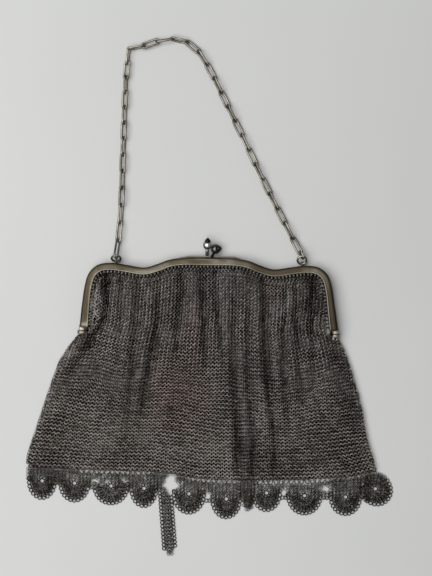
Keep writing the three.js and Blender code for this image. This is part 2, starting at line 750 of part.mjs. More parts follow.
function addFrame(group) {
  group.add(named("frame_front", frameFront(), SILVER));
  group.add(named("frame_back", frameBack(), SILVER));
  group.add(named("hinge_rivet_left", hingeRivet(-1), BRIGHT_SILVER));
  group.add(named("hinge_rivet_right", hingeRivet(1), BRIGHT_SILVER));
  for (const [half, knob] of Object.entries(KNOBS)) {
    group.add(named(`clasp_knob_${half}`, claspKnob(knob), BRIGHT_SILVER));
    group.add(named(`clasp_stone_${half}`, claspStone(knob), BLACK_GLASS));
  }
  group.add(named("clasp_plate", claspPlate(), SILVER));
}

const purse = new THREE.Group();
addFrame(purse);
addChain(purse);
purse.add(named("mesh_bag", meshBag(), DARK_MESH));
addBorder(purse);

// The origin is on the table, under the middle of the whole purse with its chain laid out.
const middle = new THREE.Box3().setFromObject(purse, true).getCenter(new THREE.Vector3());
purse.position.set(-middle.x, -middle.y, 0);
const part = new THREE.Group();
part.add(purse);

export default part;
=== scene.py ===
# %% [markdown]
# # A ring-mesh purse lying on a table
# The purse is woven from thousands of small metal rings. The mesh hangs on a hinged silver frame with
# a snap clasp, and a chain of long links carries it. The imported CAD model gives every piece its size
# and its place. This lesson builds the look of each piece around it: real rings for the mesh, a worn
# frame, a smooth chain, and then the table, the light and the camera.

import bpy
import numpy as np
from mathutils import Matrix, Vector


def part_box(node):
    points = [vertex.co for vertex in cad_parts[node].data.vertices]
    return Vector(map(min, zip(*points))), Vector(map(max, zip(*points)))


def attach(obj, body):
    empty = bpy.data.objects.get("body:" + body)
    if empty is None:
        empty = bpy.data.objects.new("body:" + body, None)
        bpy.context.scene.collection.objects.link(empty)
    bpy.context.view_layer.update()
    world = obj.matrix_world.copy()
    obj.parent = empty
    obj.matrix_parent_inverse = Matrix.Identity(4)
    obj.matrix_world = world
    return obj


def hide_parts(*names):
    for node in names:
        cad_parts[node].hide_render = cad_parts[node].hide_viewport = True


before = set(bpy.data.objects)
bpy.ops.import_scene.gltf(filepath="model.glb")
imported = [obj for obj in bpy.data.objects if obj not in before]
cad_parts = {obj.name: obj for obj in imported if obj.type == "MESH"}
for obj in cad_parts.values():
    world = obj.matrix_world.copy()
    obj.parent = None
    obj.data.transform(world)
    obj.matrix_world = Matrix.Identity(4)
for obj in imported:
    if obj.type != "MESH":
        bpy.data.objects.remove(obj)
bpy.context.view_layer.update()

# %% [markdown]
# ## Sizes
# Every size below is in millimetres, measured from the middle of the hinge line, as a maker would
# measure the purse on a bench. Blender counts in metres, and the model's own origin lies under the
# middle of the whole purse with its chain. The two hinge rivets of the CAD model show where the hinge
# line is, so one small function carries points from the bench into the scene.

# %% From millimetres on the bench to metres in the scene
MM = 0.001
rivet_corners = [list(corner) for side in ("left", "right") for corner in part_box(f"hinge_rivet_{side}")]
hinge_middle = np.mean(rivet_corners, axis=0)
BENCH_ORIGIN = np.array([hinge_middle[0], hinge_middle[1], 0.0])


def in_scene(points):
    return np.asarray(points) * MM + BENCH_ORIGIN


print("hinge line's middle:", BENCH_ORIGIN.round(5))

# %% [markdown]
# ## Grids become meshes
# Almost every piece here is a grid of points: a bar is a profile repeated along a path, a knob is a
# profile repeated round an axis, and a ring of wire is a small circle repeated round a large one.
# One helper numbers the four corners of every cell of a grid, and another hands points and faces to
# Blender as arrays. That is much faster than adding faces one by one, and the mesh needs it.

# %% Faces of a grid
CORNERS = 4


# A closed grid joins its last row or column to its first.
def grid_faces(rows, columns, close_rows=False, close_columns=False):
    row, column = np.meshgrid(
        np.arange(rows if close_rows else rows - 1),
        np.arange(columns if close_columns else columns - 1),
        indexing="ij",
    )
    below = (row + 1) % rows
    right = (column + 1) % columns
    corners = [
        row * columns + column,
        row * columns + right,
        below * columns + right,
        below * columns + column,
    ]
    return np.stack(corners, axis=-1).reshape(-1, CORNERS)


print("a grid of 3 by 4 points has", len(grid_faces(3, 4)), "faces")

# %% From parts to pieces
triangles_made = 0


# The volume inside a closed mesh. It is negative if the faces look inwards.
def enclosed_volume(points, faces):
    a, b, c, d = (points[faces[:, corner]] for corner in range(CORNERS))
    return (np.cross(b - a, c - a) * a).sum() / 6 + (np.cross(c - a, d - a) * a).sum() / 6


# One mesh from several parts, with every part's faces turned outwards. A part is a set of points, the
# faces between them, and a tone for each point.
def joined(parts):
    points, faces, tones, count = [], [], [], 0
    for part_points, part_faces, tone in parts:
        if enclosed_volume(part_points, part_faces) < 0:
            part_faces = part_faces[:, ::-1]
        points.append(part_points)
        faces.append(part_faces + count)
        tones.append(np.broadcast_to(tone, len(part_points)))
        count += len(part_points)
    return np.concatenate(points), np.concatenate(faces), np.concatenate(tones)


def store_numbers(mesh, name, numbers):
    mesh.attributes.new(name, "FLOAT", "POINT").data.foreach_set("value", numbers)


def add_piece(name, parts, material, nodes):
    global triangles_made
    points, faces, tones = joined(parts)
    mesh = bpy.data.meshes.new(name)
    mesh.vertices.add(len(points))
    mesh.vertices.foreach_set("co", in_scene(points).ravel())
    mesh.loops.add(faces.size)
    mesh.loops.foreach_set("vertex_index", faces.ravel())
    mesh.polygons.add(len(faces))
    mesh.polygons.foreach_set("loop_start", np.arange(len(faces)) * CORNERS)
    mesh.update(calc_edges=True)
    mesh.shade_smooth()
    store_numbers(mesh, "tone", tones)
    mesh.materials.append(material)
    piece = bpy.data.objects.new(name, mesh)
    bpy.context.collection.objects.link(piece)
    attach(piece, "root")
    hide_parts(*nodes)
    triangles_made += 2 * len(faces)
    return piece


print("ready for pieces,", triangles_made, "triangles so far")

# %% [markdown]
# ## Finishes
# Old silver is never one colour. It is bright where hands and edges rub it, brown or olive where
# tarnish gathers, and it has small scratches. Each metal is a ramp from dark to bright. The place on
# the ramp follows soft clouds of noise and a number called tone that each piece stores with its own
# points. Besides wear and tarnish, the tone also holds painted light and shade: a painted highlight on
# a lip or on top of a ball or a wire, and painted shade on an outer wall, an underside or in a crevice.
# A second noise changes the roughness. The ring mesh has one more stored number, which tints some
# areas a warm brown. Painted pictures could do this too, but noise and stored numbers need no picture
# and stay fine close up. The black caps of the clasp, and later the table, need only a plain finish that
# drifts between two colours.

# %% A plain finish
# Most of a noise lies between these two values.
NOISE_LOW, NOISE_HIGH = 0.3, 0.7
# A new stop of a ramp starts here and then gets its own place.
RAMP_MIDDLE = 0.5


# A helper that adds a node and sets or links each input that is named.
def node_maker(material):
    material.use_nodes = True
    tree = material.node_tree

    def add(kind, inputs=(), **settings):
        node = tree.nodes.new(kind)
        for name, value in settings.items():
            setattr(node, name, value)
        for name, value in dict(inputs).items():
            if isinstance(value, bpy.types.NodeSocket):
                tree.links.new(value, node.inputs[name])
            else:
                node.inputs[name].default_value = value
        return node

    return tree, add


def set_ramp(ramp_node, stops):
    elements = ramp_node.color_ramp.elements
    while len(elements) < len(stops):
        elements.new(RAMP_MIDDLE)
    for element, (position, color) in zip(elements, stops):
        element.position = position
        element.color = (*color, 1.0)


def plain_finish(name, dark, pale, cloud_scale, cloud_detail, roughness, specular):
    material = bpy.data.materials.new(name)
    tree, add = node_maker(material)
    shader = tree.nodes["Principled BSDF"]
    place = add("ShaderNodeTexCoord").outputs["Object"]
    clouds = add("ShaderNodeTexNoise", {"Vector": place, "Scale": cloud_scale, "Detail": cloud_detail})
    ramp = add("ShaderNodeValToRGB", {"Fac": clouds.outputs["Fac"]})
    set_ramp(ramp, [(NOISE_LOW, dark), (NOISE_HIGH, pale)])
    tree.links.new(ramp.outputs["Color"], shader.inputs["Base Color"])
    shader.inputs["Roughness"].default_value = roughness
    shader.inputs["Specular IOR Level"].default_value = specular
    return material


black_glass = plain_finish(
    "black_cap_glass", (0.002, 0.002, 0.002), (0.008, 0.007, 0.007),
    cloud_scale=500.0, cloud_detail=3.0, roughness=0.3, specular=0.2,
)
print("plain finish:", black_glass.name)

# %% A tarnished metal
CLOUD_DETAIL, GRAIN_DETAIL, BUMP_STRENGTH = 6.0, 3.0, 0.35
# The sockets of a Mix node that mixes colours, by number.
MIX_FACTOR, MIX_FIRST, MIX_SECOND, MIX_RESULT = 0, 6, 7, 2


def tarnished_metal(
    name, stops, cloud_scale, cloud_share, roughness, grain_scale, grain_depth, warm_tint=None
):
    material = bpy.data.materials.new(name)
    tree, add = node_maker(material)
    shader = tree.nodes["Principled BSDF"]
    place = add("ShaderNodeTexCoord").outputs["Object"]
    clouds = add("ShaderNodeTexNoise", {"Vector": place, "Scale": cloud_scale, "Detail": CLOUD_DETAIL})
    grain = add("ShaderNodeTexNoise", {"Vector": place, "Scale": grain_scale, "Detail": GRAIN_DETAIL})
    tone = add("ShaderNodeAttribute", attribute_name="tone")
    noise_range = {"From Min": NOISE_LOW, "From Max": NOISE_HIGH}
    cloud_range = {**noise_range, "To Min": -cloud_share, "To Max": cloud_share}
    drift = add("ShaderNodeMapRange", {"Value": clouds.outputs["Fac"], **cloud_range})
    level = add("ShaderNodeMath", {0: tone.outputs["Fac"], 1: drift.outputs["Result"]}, operation="ADD")
    ramp = add("ShaderNodeValToRGB", {"Fac": level.outputs["Value"]})
    set_ramp(ramp, stops)
    color = ramp.outputs["Color"]
    if warm_tint:
        warm = add("ShaderNodeAttribute", attribute_name="warm")
        mix_inputs = {MIX_FACTOR: warm.outputs["Fac"], MIX_FIRST: color, MIX_SECOND: (*warm_tint, 1.0)}
        mix = add("ShaderNodeMix", mix_inputs, data_type="RGBA", blend_type="MULTIPLY")
        color = mix.outputs[MIX_RESULT]
    rough_range = {**noise_range, "To Min": roughness[0], "To Max": roughness[1]}
    rough = add("ShaderNodeMapRange", {"Value": grain.outputs["Fac"], **rough_range})
    bump_inputs = {"Height": grain.outputs["Fac"], "Strength": BUMP_STRENGTH, "Distance": grain_depth}
    bump = add("ShaderNodeBump", bump_inputs)
    tree.links.new(color, shader.inputs["Base Color"])
    tree.links.new(rough.outputs["Result"], shader.inputs["Roughness"])
    tree.links.new(bump.outputs["Normal"], shader.inputs["Normal"])
    shader.inputs["Metallic"].default_value = 1.0
    return material


frame_silver = tarnished_metal(
    "tarnished_frame_silver",
    [(0.0, (0.014, 0.011, 0.007)), (0.45, (0.085, 0.068, 0.045)), (1.0, (0.44, 0.4, 0.33))],
    cloud_scale=55, cloud_share=0.16, roughness=(0.42, 0.58), grain_scale=1400, grain_depth=0.00006,
)
print("first metal:", frame_silver.name)

# %% Three more metals
chain_silver = tarnished_metal(
    "dull_chain_silver",
    [(0.0, (0.03, 0.025, 0.018)), (0.5, (0.2, 0.18, 0.145)), (1.0, (0.6, 0.57, 0.5))],
    cloud_scale=160, cloud_share=0.2, roughness=(0.28, 0.42), grain_scale=2200, grain_depth=0.00004,
)
bright_silver = tarnished_metal(
    "rubbed_silver",
    [(0.0, (0.012, 0.01, 0.008)), (0.5, (0.3, 0.28, 0.24)), (1.0, (0.86, 0.85, 0.81))],
    cloud_scale=240, cloud_share=0.12, roughness=(0.27, 0.4), grain_scale=2600, grain_depth=0.00003,
)
ring_metal = tarnished_metal(
    "dark_ring_metal",
    [
        (0.1, (0.0055, 0.0044, 0.0034)), (0.45, (0.051, 0.0445, 0.037)),
        (0.8, (0.3, 0.273, 0.242)), (1.0, (0.62, 0.595, 0.56)),
    ],
    cloud_scale=38, cloud_share=0.1, roughness=(0.3, 0.46), grain_scale=1800, grain_depth=0.00004,
    warm_tint=(1.12, 0.93, 0.93),
)
print("more metals:", [metal.name for metal in (chain_silver, bright_silver, ring_metal)])

# %% [markdown]
# ## The frame
# The frame is two arched bars of pressed silver, one lying on the other. Each bar has a nearly flat
# face, a fine raised lip along the inside, where the mesh is fixed, and an outer wall. The tones of the
# profile paint a highlight on the lip and shade on the outer wall, over the bar's tarnish. A curve with
# a bevel object could make it, but a grid keeps the tone of every line of the profile in our hands.
# The arch passes smoothly through a few measured points. Its left half mirrors the right, except that
# the left foot stands a little further in.

# %% Helpers for points and paths
def smoothstep(value, low, high):
    share = np.clip((value - low) / (high - low), 0.0, 1.0)
    return share * share * (3 - 2 * share)


def unit(vectors):
    return vectors / np.linalg.norm(vectors, axis=-1, keepdims=True)


def between(first, last, start, end, time):
    return first + (last - first) * (time - start) / (end - start)


def path_length(points):
    return np.concatenate([[0.0], np.cumsum(np.linalg.norm(np.diff(points, axis=0), axis=1))])


# Places at the given distances along a line of points.
def along_path(points, distances):
    length = path_length(points)
    return np.stack([np.interp(distances, length, column) for column in points.T], axis=1)


print("a quarter of the way up, a smooth step has reached", smoothstep(0.25, 0.0, 1.0))

# %% A smooth path, and the arch
# A smooth curve through the points. Its knots are spaced by the roots of the distances. The places on it
# are equal steps apart, or with some slack closer together near one end.
def smooth_path(points, count, slack=0.0, steps=24):
    points = np.asarray(points, dtype=float)
    knots = np.concatenate([[2 * points[0] - points[1]], points, [2 * points[-1] - points[-2]]])
    times = np.concatenate([[0.0], np.cumsum(np.linalg.norm(np.diff(knots, axis=0), axis=1) ** 0.5)])
    spans = []
    for k in range(len(points) - 1):
        p, t = knots[k : k + 4], times[k : k + 4]
        time = np.linspace(t[1], t[2], steps, endpoint=False)[:, None]
        a = [between(p[n], p[n + 1], t[n], t[n + 1], time) for n in range(3)]
        b = [between(a[n], a[n + 1], t[n], t[n + 2], time) for n in range(2)]
        spans.append(between(b[0], b[1], t[1], t[2], time))
    curve = np.concatenate([*spans, points[-1:]])
    share = np.linspace(0.0, 1.0, count)
    return along_path(curve, (share - slack * share * (1 - share)) * path_length(curve)[-1])


ARCH_STEPS = 181
# The centre line from the middle of the top to the right hinge.
ARCH_RIGHT = np.array([
    (0, 40.9), (15.5, 40.7), (22.5, 39.6), (28.5, 37.3), (37, 34.9), (48, 36.3),
    (56.5, 37.3), (63, 36.3), (67.2, 32.5), (69.3, 26), (70.9, 15), (72.6, 2.3),
])
# The foot of the left leg stands further in by this much, fading out up to this height.
LEFT_FOOT_SHIFT, LEFT_FOOT_TOP = 1.1, 22.0
arch_left = ARCH_RIGHT[:0:-1] * (-1, 1)
arch_left[:, 0] += LEFT_FOOT_SHIFT * (1 - smoothstep(arch_left[:, 1], 0.0, LEFT_FOOT_TOP))
arch = smooth_path(np.concatenate([arch_left, ARCH_RIGHT]), ARCH_STEPS)
print("the arch is", round(path_length(arch)[-1], 1), "mm long from hinge to hinge")

# %% Worn and tarnished spots
# Nicks, worn spots and one patch of painted light on the frame: middle x, middle y, half width, half
# height, change of tone.
FRAME_SPOTS = (
    (-38.8, 37.6, 0.7, 0.9, 0.5),
    (-45.0, 33.6, 14.0, 1.6, 0.1),
    (-72.0, 14.0, 4.0, 18.0, -0.12),
    (0.0, 38.0, 62.0, 7.0, 0.04),
    (71.5, 16.0, 3.0, 16.0, -0.02),
    (8.0, 42.0, 2.5, 1.6, -0.15),
    (2.0, 41.0, 16.0, 3.0, -0.02),
    # Painted light on the outer wall beside the clasp plate, lifting the shade between them.
    (1.0, 42.6, 16.0, 0.9, 0.25),
    (-4.6, 40.4, 6.0, 1.6, -0.12),
    (-73.9, 9.0, 1.0, 6.0, -0.16),
    (36.0, 37.0, 18.0, 5.0, -0.08),
    (-72.0, 3.6, 2.6, 1.2, 0.22),
)
# A high power gives an area an even middle and a short soft edge.
AREA_POWER = 4


# The change that a list of such areas makes at the given places.
def area_change(places, areas):
    total = np.zeros(len(places))
    for x, y, half_width, half_height, change in areas:
        away_x = ((places[:, 0] - x) / half_width) ** AREA_POWER
        away_y = ((places[:, 1] - y) / half_height) ** AREA_POWER
        total += change * np.exp(-(away_x + away_y))
    return total


print(len(FRAME_SPOTS), "spots on the frame differ from the rest")

# %% The two bars
HALF_HEIGHT = 3.9
GAP = 0.35
BAND, BAND_AT_HINGE, BAND_TAPER = 4.2, 5.0, 26.0
# The profile of one bar: share across the band from outside to inside, share of the height, and tone,
# which paints a highlight on the inner lip and shade on the outer wall.
BAR_ACROSS, BAR_UP, BAR_LIGHT_AND_TONE = np.array([
    (-0.45, 0.0, 0.2), (0.44, 0.0, 0.2), (0.5, 0.08, 0.2), (0.5, 0.78, 0.4), (0.49, 0.93, 0.62),
    (0.46, 1.0, 0.74), (0.36, 1.0, 0.74), (0.31, 0.97, 0.56), (0.26, 0.95, 0.48), (0.12, 0.955, 0.48),
    (0.0, 0.955, 0.46), (-0.15, 0.95, 0.42), (-0.28, 0.93, 0.36), (-0.37, 0.89, 0.26),
    (-0.43, 0.82, 0.18), (-0.47, 0.7, 0.12), (-0.5, 0.5, 0.1), (-0.5, 0.1, 0.1),
]).T
# Two smaller copies of an end row round off the end of a bar: share of the size, and reach outwards.
END_ROWS = ((0.8, 0.2), (0.02, 0.3))
arch_along = unit(np.gradient(arch, axis=0))
arch_inward = np.stack([arch_along[:, 1], -arch_along[:, 0]], axis=1)
arch_band = BAND_AT_HINGE + (BAND - BAND_AT_HINGE) * smoothstep(arch[:, 1], 0.0, BAND_TAPER)


def closing_rows(end, before):
    middle = end.mean(axis=0)
    outward = unit(middle - before.mean(axis=0))
    return np.stack([middle + (end - middle) * size + outward * reach for size, reach in END_ROWS])


def with_ends(rows):
    return np.concatenate([closing_rows(rows[0], rows[1])[::-1], rows, closing_rows(rows[-1], rows[-2])])


def grid_part(rows, tone, close_rows=False, close_columns=True):
    count, sides = rows.shape[:2]
    tones = np.broadcast_to(tone, (count, sides)).ravel()
    return rows.reshape(-1, 3), grid_faces(count, sides, close_rows, close_columns), tones


# One bar of the frame, at the heights that belong to the profile's points.
def bar_part(profile_heights):
    offsets = BAR_ACROSS[None, :] * arch_band[:, None]
    plan = arch[:, None, :] + arch_inward[:, None, :] * offsets[:, :, None]
    heights = np.broadcast_to(profile_heights, offsets.shape)[..., None]
    points, faces, tones = grid_part(with_ends(np.concatenate([plan, heights], axis=2)), BAR_LIGHT_AND_TONE)
    return points, faces, tones + area_change(points, FRAME_SPOTS)


front_parts = [bar_part(HALF_HEIGHT + GAP + BAR_UP * HALF_HEIGHT)]
back_parts = [bar_part(HALF_HEIGHT * (1 - BAR_UP))]
print("each bar has", len(front_parts[0][1]), "faces")

# %% [markdown]
# ## Hinges
# At the foot of each leg the two bars end in small round eyes, side by side on one rivet. The front eye
# is long, and handling has polished it, so it is among the brightest spots of the frame. The back eye
# is short and tarnished. An eye is a short tube: its profile runs over the bevelled edges, along the
# outside and back through the bore, and it is turned round the hinge line like clay on a wheel. The
# screw modifier turns a profile as well, but here every point can keep its own tone. The same turning
# helper makes the rivets and the knobs.

# %% Rivets
HINGE_Z = HALF_HEIGHT + GAP / 2
EYE_RADIUS, EYE_BORE, EYE_Y = 1.55, 0.9, -0.8
# Outer ends of the left and the right hinge, measured from the middle.
EYE_OUTER_X = {-1: 74.4, 1: 75.4}
FRONT_EYE_LENGTH, BACK_EYE_LENGTH = 3.2, 1.4
RIVET_HEAD, RIVET_DOME, RIVET_SIDES, RIVET_TONE = 1.3, 0.7, 24, 0.45
# A profile ends at this small radius, so that no point of a turned piece is there twice.
TIP = 0.01
# The dome of a rivet's head: share of its radius, and share of its height.
DOME_ROWS = ((1.0, 0.0), (0.9, 0.6), (0.55, 0.93), (TIP, 1.0))
SIDES = {"left": -1, "right": 1}
ACROSS, UP_CHAIN, HIGH = np.eye(3)
NEARLY_UPRIGHT = 0.9


# Rows of points from a profile of (radius, distance along the axis), turned round the axis.
def turned(profile, start, direction, sides=32):
    direction = unit(np.asarray(direction, dtype=float))
    helper = HIGH if abs(direction[2]) < NEARLY_UPRIGHT else ACROSS
    first = unit(np.cross(direction, helper))
    second = np.cross(direction, first)
    angle = np.arange(sides) * 2 * np.pi / sides
    round_about = np.cos(angle)[:, None] * first + np.sin(angle)[:, None] * second
    radius, along = np.asarray(profile, dtype=float).T
    return np.asarray(start) + radius[:, None, None] * round_about + along[:, None, None] * direction


# A shaft with a domed head at each end.
def rivet(side):
    outer = EYE_OUTER_X[side] + GAP
    inner = EYE_OUTER_X[side] - FRONT_EYE_LENGTH - BACK_EYE_LENGTH - 2 * GAP
    shaft = EYE_BORE - GAP
    dome = np.array(DOME_ROWS) * (RIVET_HEAD, RIVET_DOME)
    inner_head = dome[::-1] * (1, -1) + (0, inner)
    profile = [*inner_head, (shaft, inner), (shaft, outer), *(dome + (0, outer))]
    return grid_part(turned(profile, (0, EYE_Y, HINGE_Z), (side, 0, 0), RIVET_SIDES), RIVET_TONE)


for side_name, side in SIDES.items():
    node = f"hinge_rivet_{side_name}"
    add_piece(f"{node}_turned", [rivet(side)], bright_silver, [node])
print("two rivets made,", triangles_made, "triangles so far")

# %% Eyes and necks
EYE_EDGE = 0.2
FRONT_EYE_TONE, BACK_EYE_TONE = 1.0, 0.3
# Painted shade, with some tarnish, darkens the crevice between an eye and its neck.
CREVICE_Y, CREVICE_HALF, CREVICE_SHADE_AND_TARNISH = -0.15, 0.3, 0.9
# Sections of a neck from the eye up: share of its size, and height above the hinge line.
NECK_ROWS = ((0.02, 0.0), (0.85, 0.1), (1.0, 0.4), (1.0, 3.4), (0.02, 3.5))
# A neck's corners are cut off beyond this share of its half size.
NECK_CUT = 0.7


def hinge_eye(outer_x, length, side, tone):
    profile = [
        (EYE_BORE, 0), (EYE_RADIUS - EYE_EDGE, 0), (EYE_RADIUS, EYE_EDGE),
        (EYE_RADIUS, length - EYE_EDGE), (EYE_RADIUS - EYE_EDGE, length), (EYE_BORE, length),
    ]
    start = (side * (outer_x - length), EYE_Y, HINGE_Z)
    rows = turned(profile, start, (side, 0, 0))
    # Painted shade with some tarnish along the crevice.
    crevice = np.exp(-(((rows[..., 1] - CREVICE_Y) / CREVICE_HALF) ** 2))
    return grid_part(rows, tone - CREVICE_SHADE_AND_TARNISH * crevice, close_rows=True)


# A short block with cut corners that joins an eye to the leg above it.
def hinge_neck(outer_x, length, side, up, tone):
    height = EYE_RADIUS - GAP / 2
    upper = np.array([(1, NECK_CUT), (NECK_CUT, 1), (-NECK_CUT, 1), (-1, NECK_CUT)])
    outline = np.concatenate([upper, -upper])
    middle_x = side * (outer_x - length / 2)
    middle_z = HINGE_Z + up * (GAP / 2 + height / 2)
    rows = []
    for size, y in NECK_ROWS:
        x = middle_x + outline[:, 0] * size * length / 2
        z = middle_z + outline[:, 1] * size * height / 2
        rows.append(np.stack([x, np.full(len(outline), y), z], axis=1))
    return grid_part(np.array(rows), tone)


for side in SIDES.values():
    front_x = EYE_OUTER_X[side]
    back_x = front_x - FRONT_EYE_LENGTH - GAP
    front_eye, back_eye = (front_x, FRONT_EYE_LENGTH, side), (back_x, BACK_EYE_LENGTH, side)
    front_parts += [hinge_eye(*front_eye, FRONT_EYE_TONE), hinge_neck(*front_eye, 1, FRONT_EYE_TONE)]
    back_parts += [hinge_eye(*back_eye, BACK_EYE_TONE), hinge_neck(*back_eye, -1, BACK_EYE_TONE)]
add_piece("frame_front_bar", front_parts, frame_silver, ["frame_front"])
print("front bar and hinges made,", triangles_made, "triangles so far")

# %% [markdown]
# ## Chain rings and chain
# The back bar carries two small loops. A round ring hangs in each, and the chain runs from one ring
# over the table to the other. Its links are long and straight-sided, like paper clips. Most stand square
# to their neighbours, a few after the corner have twisted, and a short link joins the last long one to
# the right ring. A curve with a round bevel could make a link. Here a helper sweeps a round section
# along a closed line of points, so that the top of the wire can carry painted light while its lower side
# gets painted shade. The joints between links follow a smooth route, and they are closer together where
# the chain lies slack.

# %% Eyelets and rings
RING_RADIUS, RING_WIRE, RING_X = 2.6, 1.2, 53.7
RING_POINTS, RING_SIDES = 36, 12
EYELET_RADIUS, EYELET_WIRE, EYELET_Z = 1.3, 0.8, 2.1
EYELET_TONE, RING_TONE = 0.45, 0.45
# Degrees that the left and the right ring rise from the table.
RING_LEAN = {-1: 50.0, 1: 30.0}
# Painted light on the top of a wire and painted shade on its lower side, by how high each point lies.
WIRE_TOP_LIGHT = 0.28
outer_edge = arch - arch_inward * arch_band[:, None] / 2


# A round wire along a closed flat line of points whose plane has the given normal.
def closed_wire(line, normal, wire, tone, sides=8):
    along = unit(np.roll(line, -1, axis=0) - np.roll(line, 1, axis=0))
    outward = np.cross(along, normal)
    angle = np.arange(sides) * 2 * np.pi / sides
    section = np.cos(angle)[:, None] * outward[:, None, :] + np.sin(angle)[:, None] * normal
    # Painted light on top of the wire, painted shade underneath.
    top_lit_tone = tone + WIRE_TOP_LIGHT * section[..., 2]
    return grid_part(line[:, None, :] + section * wire / 2, top_lit_tone, close_rows=True)


def circle(middle, first, second, radius, count=28):
    angle = np.arange(count)[:, None] * 2 * np.pi / count
    return middle + radius * (np.cos(angle) * first + np.sin(angle) * second)


def eyelet_middle(side):
    near = np.abs(outer_edge[:, 0] - side * RING_X) < RING_RADIUS
    return np.array([side * RING_X, outer_edge[near, 1].max() + RING_WIRE / 2 + GAP, EYELET_Z])


ring_far_side = {}
for side_name, side in SIDES.items():
    eyelet = circle(eyelet_middle(side), UP_CHAIN, HIGH, EYELET_RADIUS)
    back_parts.append(closed_wire(eyelet, ACROSS, EYELET_WIRE, EYELET_TONE))
    lean = np.radians(RING_LEAN[side])
    ring_up = np.array([0.0, np.cos(lean), np.sin(lean)])
    ring_middle = eyelet_middle(side) + ring_up * RING_RADIUS
    ring_line = circle(ring_middle, ACROSS, ring_up, RING_RADIUS, RING_POINTS)
    ring_far_side[side] = eyelet_middle(side) + ring_up * 2 * RING_RADIUS
    ring_part = closed_wire(ring_line, np.cross(ACROSS, ring_up), RING_WIRE, RING_TONE, RING_SIDES)
    node = f"chain_ring_{side_name}"
    add_piece(f"{node}_wire", [ring_part], chain_silver, [node])
add_piece("frame_back_bar", back_parts, frame_silver, ["frame_back"])
print("chain rings end at", {side: place.round(1).tolist() for side, place in ring_far_side.items()})

# %% Where the chain lies
LINK_COUNT, CORNER_LINK, CHAIN_Z = 32, 13, 2.05
CHAIN_UP = np.array([(-52.7, 52.5), (-51.4, 71), (-50.6, 110), (-49.5, 150), (-48.2, 163.4)])
CHAIN_DOWN = np.array([
    (-48.2, 163.4), (-36.8, 165.9), (-30.7, 168.4), (-23.5, 169.6), (-13.6, 167.4), (-7.7, 162.2),
    (-2.6, 154.5), (10.9, 128.4), (34.1, 81.7), (49.2, 53.2),
])
# The chain lies slack about its corner and is drawn out towards both rings.
SLACK_UP, SLACK_DOWN = -0.14, 0.07
# The short link between the last long one and the right ring.
JOINING_PITCH = 3.2


def on_table(line):
    return np.column_stack([line, np.full(len(line), CHAIN_Z)])


def ring_joint(side, beyond):
    away = unit(beyond - ring_far_side[side])
    return ring_far_side[side] - away * (RING_WIRE + GAP) / 2


going_up, going_down = on_table(CHAIN_UP), on_table(CHAIN_DOWN)
going_up = np.concatenate([[ring_joint(-1, going_up[0])], going_up])
last_joint = ring_joint(1, going_down[-1])
joining_start = last_joint + JOINING_PITCH * unit(going_down[-1] - last_joint)
going_down = np.concatenate([going_down, [joining_start]])
joints_up = smooth_path(going_up, CORNER_LINK + 1, SLACK_UP)[:-1]
joints_down = smooth_path(going_down, LINK_COUNT - CORNER_LINK + 1, SLACK_DOWN)
joints = np.concatenate([joints_up, joints_down])
joints[:, 2] = np.maximum(joints[:, 2], CHAIN_Z)
print(LINK_COUNT, "links on a chain of", round(path_length(joints)[-1]), "mm")

# %% Links
LINK_WIRE, LINK_WIDTH, LINK_POINTS, LINK_TONE = 1.2, 4.2, 28, 0.36
QUARTER_TURN = 90
# Degrees that the even links stand up from the table, by the link's number.
ROLL_LINK, ROLL_DEGREES = np.array([(0, 54), (9, 60), (12, 74), (17, 62), (24, 64), (31, 62)]).T
# The first links after the corner have twisted out of turn.
TWISTED_ROLLS = {13: 78, 14: 172, 15: 104}
JOINING_ROLL = 62


def chain_link(start, end, degrees):
    roll = np.radians(degrees)
    along = unit(end - start)
    level = unit(np.array([-along[1], along[0], 0.0]))
    upright = np.cross(along, level)
    wide = np.cos(roll) * level + np.sin(roll) * upright
    bow = (LINK_WIDTH - LINK_WIRE) / 2
    straight = np.linalg.norm(end - start) + LINK_WIRE + GAP - 2 * bow
    angle = (np.arange(LINK_POINTS) + 0.5)[:, None] * 2 * np.pi / LINK_POINTS
    shift = np.sign(np.cos(angle)) * straight / 2
    line = (start + end) / 2 + (bow * np.cos(angle) + shift) * along + bow * np.sin(angle) * wide
    return closed_wire(line, np.cross(along, wide), LINK_WIRE, LINK_TONE)


for k in range(LINK_COUNT):
    in_turn = np.interp(k, ROLL_LINK, ROLL_DEGREES) + QUARTER_TURN * (k % 2)
    link_part = chain_link(joints[k], joints[k + 1], TWISTED_ROLLS.get(k, in_turn))
    node = f"chain_link_{k + 1:02d}"
    add_piece(f"{node}_wire", [link_part], chain_silver, [node])
joining_part = chain_link(joints[-1], last_joint, JOINING_ROLL)
add_piece("joining_link_wire", [joining_part], chain_silver, ["joining_link"])
print("chain made,", triangles_made, "triangles so far")

# %% [markdown]
# ## The clasp
# Two balls on leaning stems snap past each other to hold the frame shut, and each ends in a pointed
# cap of black glass. A thin plate along the top of the back bar stops the front bar. A plain sphere
# could be a ball, but a turned profile also gives the flat seat on which the cap sits. A ball has a
# painted highlight on top and painted shade round its sides, so its tone follows the height of each
# point. The plate is a small section repeated along the edge of the arch.

# %% Knobs and caps
# The stem reaches into the frame by its seat, and into the ball up to a share of the way to its middle.
STEM_SEAT, STEM_SHARES = 1.2, (0.5, 0.95)
BALL_ROWS = 22
CAP_RADIUS, CAP_HEIGHT, CAP_SEAT, CAP_ROWS = 1.75, 2.5, 2.1, 14
# A power over one bulges the cap's sides. The glass makes no use of a tone, so the caps have a middle one.
CAP_BULGE, CAP_TONE = 1.7, 0.5
